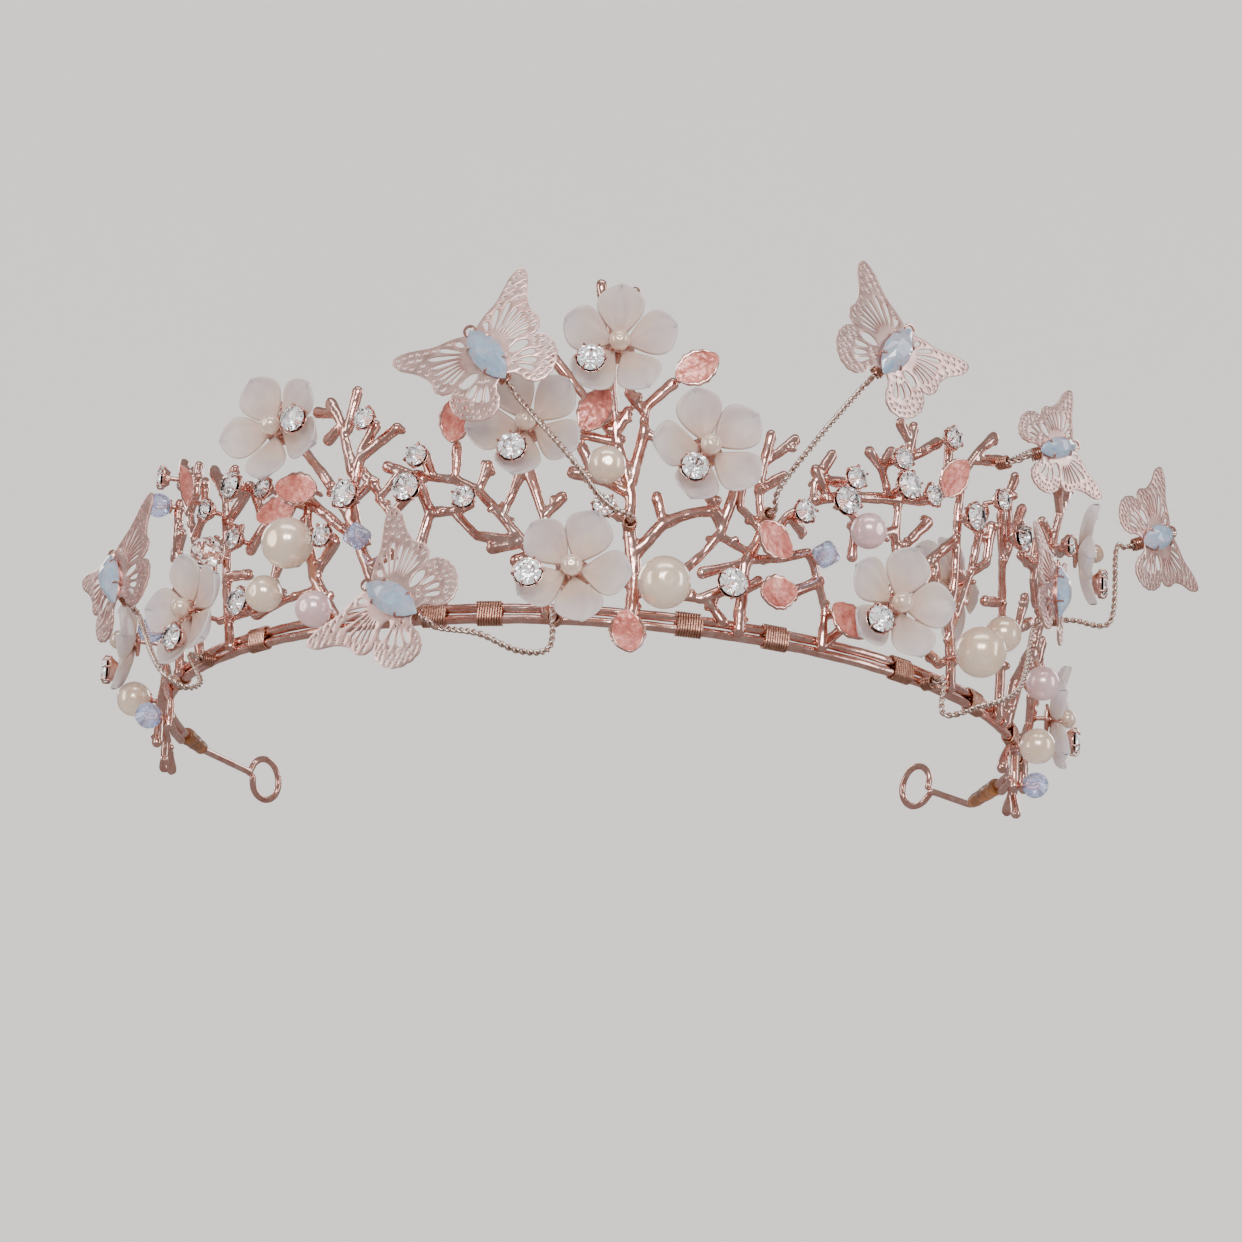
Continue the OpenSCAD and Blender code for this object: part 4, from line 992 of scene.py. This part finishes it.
def pressed_wing():
    """The right wings as pressed sheet with rounded edges round every opening, in millimetres."""
    closed, loops = wing_pattern()
    curve = bpy.data.curves.new("wing", "CURVE")
    curve.dimensions = "2D"
    curve.fill_mode = "BOTH"
    curve.extrude = 0.11
    curve.bevel_depth = 0.07
    curve.bevel_resolution = 1
    curve.offset = -0.07
    for loop in [closed] + loops:
        spline = curve.splines.new("POLY")
        spline.points.add(len(loop) - 1)
        spline.points.foreach_set("co", np.concatenate(
            [loop, np.zeros((len(loop), 1)), np.ones((len(loop), 1))], 1).ravel())
        spline.use_cyclic_u = True
    work = bpy.data.objects.new("work", curve)
    scene.collection.objects.link(work)
    mesh = bpy.data.meshes.new_from_object(work.evaluated_get(bpy.context.evaluated_depsgraph_get()))
    bpy.data.objects.remove(work)
    bm = bmesh.new()
    bm.from_mesh(mesh)
    bmesh.ops.remove_doubles(bm, verts=bm.verts, dist=0.004)
    bmesh.ops.triangulate(bm, faces=bm.faces)
    for _ in range(3):
        long_edges = [e for e in bm.edges if e.calc_length() > 1.3]
        if not long_edges:
            break
        bmesh.ops.subdivide_edges(bm, edges=long_edges, cuts=1)
        bmesh.ops.triangulate(bm, faces=bm.faces)
    bmesh.ops.recalc_face_normals(bm, faces=bm.faces)
    bm.verts.ensure_lookup_table()
    verts = np.array([v.co[:] for v in bm.verts])
    faces = [tuple(v.index for v in f.verts) for f in bm.faces]
    bm.free()
    bpy.data.meshes.remove(mesh)
    return verts, faces


WING_V, WING_F = pressed_wing()


def navette_side(l, w, y):
    r = (l * l + w * w) / (4 * w)
    return np.sqrt(np.maximum(r * r - y * y, 0)) - (r - w / 2)


def navette_loop(l, w, n):
    y = l / 2 * np.cos(np.linspace(0, math.pi, n))
    x = navette_side(l, w, y)
    right = np.stack([x, y], 1)
    left = np.stack([-x, y], 1)[::-1][1:-1]
    return np.concatenate([right, left])


def coil(length, radius, thread, start=0.0):
    turns = max(2, int(length / (thread * 2.08)))
    k = np.linspace(0, turns, turns * 16 + 1)
    return np.stack([radius * np.cos(2 * math.pi * k), radius * np.sin(2 * math.pi * k),
                     start + length * k / turns], 1)


SOCKET_END = [(0.2, 0.0), (SOCKET_R - 0.12, 0.0), (SOCKET_R - 0.02, 0.1), (SOCKET_R - 0.05, 0.28), (0.2, 0.3)]


def socket_coil():
    """The thread wound round an open socket."""
    return tube(coil(SOCKET_L - 0.3, SOCKET_R - 0.17, 0.17, 0.15), 0.165, 7)


def butterfly(b):
    name, s = b[0], b[1]
    body = "butterfly_" + name
    origin, turn = at(b[2], b[3], b[4]), facing(b[2], b[5], b[6])
    foot = np.array([0, -2.6 * s, -SOCKET_R * math.cos(math.radians(SOCKET_TILT)) - WING_T / 2])
    way = np.array([0, -math.cos(math.radians(SOCKET_TILT)), -math.sin(math.radians(SOCKET_TILT))])

    shape = Shape()
    for mirror in (1, -1):
        v = WING_V * [s, s, 1]
        x, y = v[:, 0].copy(), v[:, 1].copy()
        v[:, 2] += 0.10 * s * np.sin(x / s * 0.42) * np.cos(y / s * 0.3) - 0.0022 * x * x / s * 0.6
        v = v @ rot_y(WING_BEND).T
        faces = WING_F
        if mirror < 0:
            v = v * [-1, 1, 1]
            faces = [q[::-1] for q in WING_F]
        shape.add(place(v, origin, turn), faces, 0)
    h = TRAY_H
    loop = navette_loop(OPAL_L * s * 0.93, OPAL_W * s * 0.88, 15)
    n = len(loop)
    rings = [np.concatenate([loop * k, np.full((n, 1), z)], 1)
             for k, z in ((0.85, 0.02), (0.93, 0.1), (0.95, h - 0.12), (0.99, h + 0.12), (0.9, h + 0.1),
                          (0.88, h - 0.1))]
    v = np.concatenate(rings)
    faces = grid_faces(len(rings), n, flip=True)
    faces.append(tuple(range(n)))
    faces.append(tuple(range((len(rings) - 1) * n, len(rings) * n))[::-1])
    shape.add(place(v, origin, turn), faces, 1)
    for sx, y in ((1, 2.3), (-1, 2.3), (1, -2.3), (-1, -2.3)):
        x = float(navette_side(OPAL_L * s, OPAL_W * s, y * s))
        claw = [[sx * (x - 0.25), y * s, h - 0.2], [sx * (x + 0.1), y * s, h + 0.15],
                [sx * (x + 0.02), y * s, h + 0.55],
                [sx * (x - 0.45), y * s * 0.97, h + 0.86]]
        v, faces = tube(smooth(claw, 4), 0.17, 8)
        shape.add(place(v, origin, turn), faces, 1)
    t = np.linspace(0, 2 * math.pi, 25)[:-1]
    head = np.stack([0.85 * np.cos(t), 4.95 * s + 0.85 * np.sin(t), 0.1 + 0 * t], 1)
    v, faces = tube(np.concatenate([head, head[:2]]), 0.24, 8, ends=False)
    shape.add(place(v, origin, turn), faces, 1)
    socket_turn = frame_along(way)
    v, faces = socket_coil()
    shape.add(place(place(v, foot, socket_turn), origin, turn), faces, 2)
    v, faces = lathe(SOCKET_END, 24)
    shape.add(place(place(v, foot, socket_turn), origin, turn), faces, 1)
    shape.build("wings_pressed_" + name, [WINGS, ROSE, COPPER], body, "wing", ["wings_" + name], angle=38)

    dome = 8 * s
    top = OPAL_H * s
    points = []
    for scale, count, lift in ((1.0, 9, 0.0), (1.0, 9, 0.26), (0.82, 9, 0.6), (0.5, 7, 1.0)):
        ring_points = navette_loop(OPAL_L * s * scale, OPAL_W * s * scale, count)
        for x, y in ring_points:
            roof = top - dome + math.sqrt(max(dome * dome - x * x - y * y, 0))
            points.append((x, y, max(min(roof, top * 0.97), 0.05) * (lift if lift < 1 else 1.0) + 0.0))
    v, faces = hull(points)
    v[:, 2] += h
    Shape().add(place(v, origin, turn), faces).build(
        "opal_cut_" + name, [OPAL], body, "opal", ["opal_" + name], flat=True)

    root = spot(*b[7])
    out = at(b[7][0], 0, 1) - at(b[7][0], 0, 0)
    grip = STEM_BACK + SOCKET_WALL
    ends = [origin + turn @ (foot + way * l) for l in (SOCKET_L + 3, SOCKET_L + 1.2, grip)]
    route = [root + out * grip, root + out * (SOCKET_L + 0.6), root + out * (SOCKET_L + 2)] \
        + [at(*p) for p in b[8]] + ends
    core = even(smooth(route, 10), 0.14)
    gradient = np.gradient(core, axis=0)
    gradient /= np.linalg.norm(gradient, axis=1)[:, None]
    side = unit(np.cross(gradient[0], [0.3, 0.2, 1]))
    strands = ([], [])
    for i, p in enumerate(core):
        side = unit(side - gradient[i] * (side @ gradient[i]))
        other = np.cross(gradient[i], side)
        phase = 2 * math.pi * i * 0.14 / 2.3
        for k in (0, 1):
            t = phase + k * math.pi
            strands[k].append(p + 0.25 * (math.cos(t) * side + math.sin(t) * other))
    shape = Shape()
    for strand in strands:
        shape.add(*tube(strand, 0.25, 10))
    shape.build("stem_twisted_" + name, [STEM], "stem_" + name, "stem_wire", ["stem_" + name])
    return root, out


windings = Shape()
for b in BUTTERFLIES:
    root, out = butterfly(b)
    turn = frame_along(out)
    v, faces = socket_coil()
    windings.add(place(v, root, turn), faces)
    v, faces = lathe(SOCKET_END, 24)
    windings.add(place(v, root, turn), faces)
windings.build("stem_windings", [COPPER], "tiara", "copper_wire", ["stem_anchors"])


# ---------- studio ----------

def stage_material(name, colour, rough, glow):
    m, tree, shader = new_material(name, Roughness=rough)
    tint = ramp(tree, noise_of(tree, 3.0, 3.0), [(0.3, tuple(c * 0.985 for c in colour)), (0.7, colour)])
    join(tint, shader, "Base Color")
    shader.inputs["Emission Color"].default_value = (*colour, 1.0)
    shader.inputs["Emission Strength"].default_value = glow
    return m


def make_stage():
    """A pale round studio: a floor that curves up into the walls and closes overhead."""
    low, floor_r, bend, wall_top = -0.42, 1.5, 0.7, 1.4
    wall_r = floor_r + bend
    profile = [(0.001, low), (0.8, low), (floor_r, low)]
    profile += [(floor_r + bend * math.sin(math.radians(t)), low + bend - bend * math.cos(math.radians(t)))
                for t in range(10, 91, 10)]
    profile += [(wall_r * math.cos(math.radians(t)), wall_top + wall_r * math.sin(math.radians(t)))
                for t in range(0, 90, 10)] + [(0.001, wall_top + wall_r)]
    verts, faces = lathe(profile, 64)
    mesh = bpy.data.meshes.new("studio_shell")
    mesh.from_pydata(np.asarray(verts).tolist(), [], [q[::-1] for q in faces])
    mesh.materials.append(stage_material("studio_shell", (0.78, 0.765, 0.75), 0.8, 0.42))
    mesh.polygons.foreach_set("use_smooth", [True] * len(mesh.polygons))
    obj = bpy.data.objects.new("studio_shell", mesh)
    scene.collection.objects.link(obj)
    obj.visible_glossy = False


def softbox(name, place_at, aim, size, power, colour=(1.0, 1.0, 1.0)):
    data = bpy.data.lights.new(name, "AREA")
    data.shape = "RECTANGLE"
    data.size, data.size_y = size
    data.energy = power
    data.color = colour
    obj = bpy.data.objects.new(name, data)
    scene.collection.objects.link(obj)
    obj.location = place_at
    obj.rotation_mode = "QUATERNION"
    obj.rotation_quaternion = (Vector(aim) - Vector(place_at)).to_track_quat("-Z", "Y")
    obj.visible_camera = False


make_stage()
CENTRE_AIM = (0.0, -0.03, 0.02)
softbox("key_left", (-0.13, -0.95, 0.16), CENTRE_AIM, (0.17, 0.24), 2.4)
softbox("key_right", (0.13, -0.95, 0.16), CENTRE_AIM, (0.17, 0.24), 2.4)
softbox("top_front", (0.0, -0.55, 0.85), CENTRE_AIM, (0.9, 0.25), 3.2)
softbox("fill_left", (-1.0, -0.45, 0.15), CENTRE_AIM, (0.3, 0.8), 3.2, (1.0, 0.97, 0.95))
softbox("fill_right", (1.0, -0.4, 0.2), CENTRE_AIM, (0.3, 0.8), 3.2, (0.96, 0.98, 1.0))
softbox("rim_left", (-0.7, 0.8, 0.6), CENTRE_AIM, (0.4, 0.5), 3.0)
softbox("rim_right", (0.7, 0.8, 0.6), CENTRE_AIM, (0.4, 0.5), 3.0)

world = bpy.data.worlds.new("studio")
world.use_nodes = True
world.node_tree.nodes["Background"].inputs["Color"].default_value = (0.44, 0.38, 0.36, 1.0)
world.node_tree.nodes["Background"].inputs["Strength"].default_value = 0.8
scene.world = world
scene.view_settings.view_transform = "AgX"
scene.view_settings.look = "AgX - Punchy"
scene.view_settings.exposure = 0.55
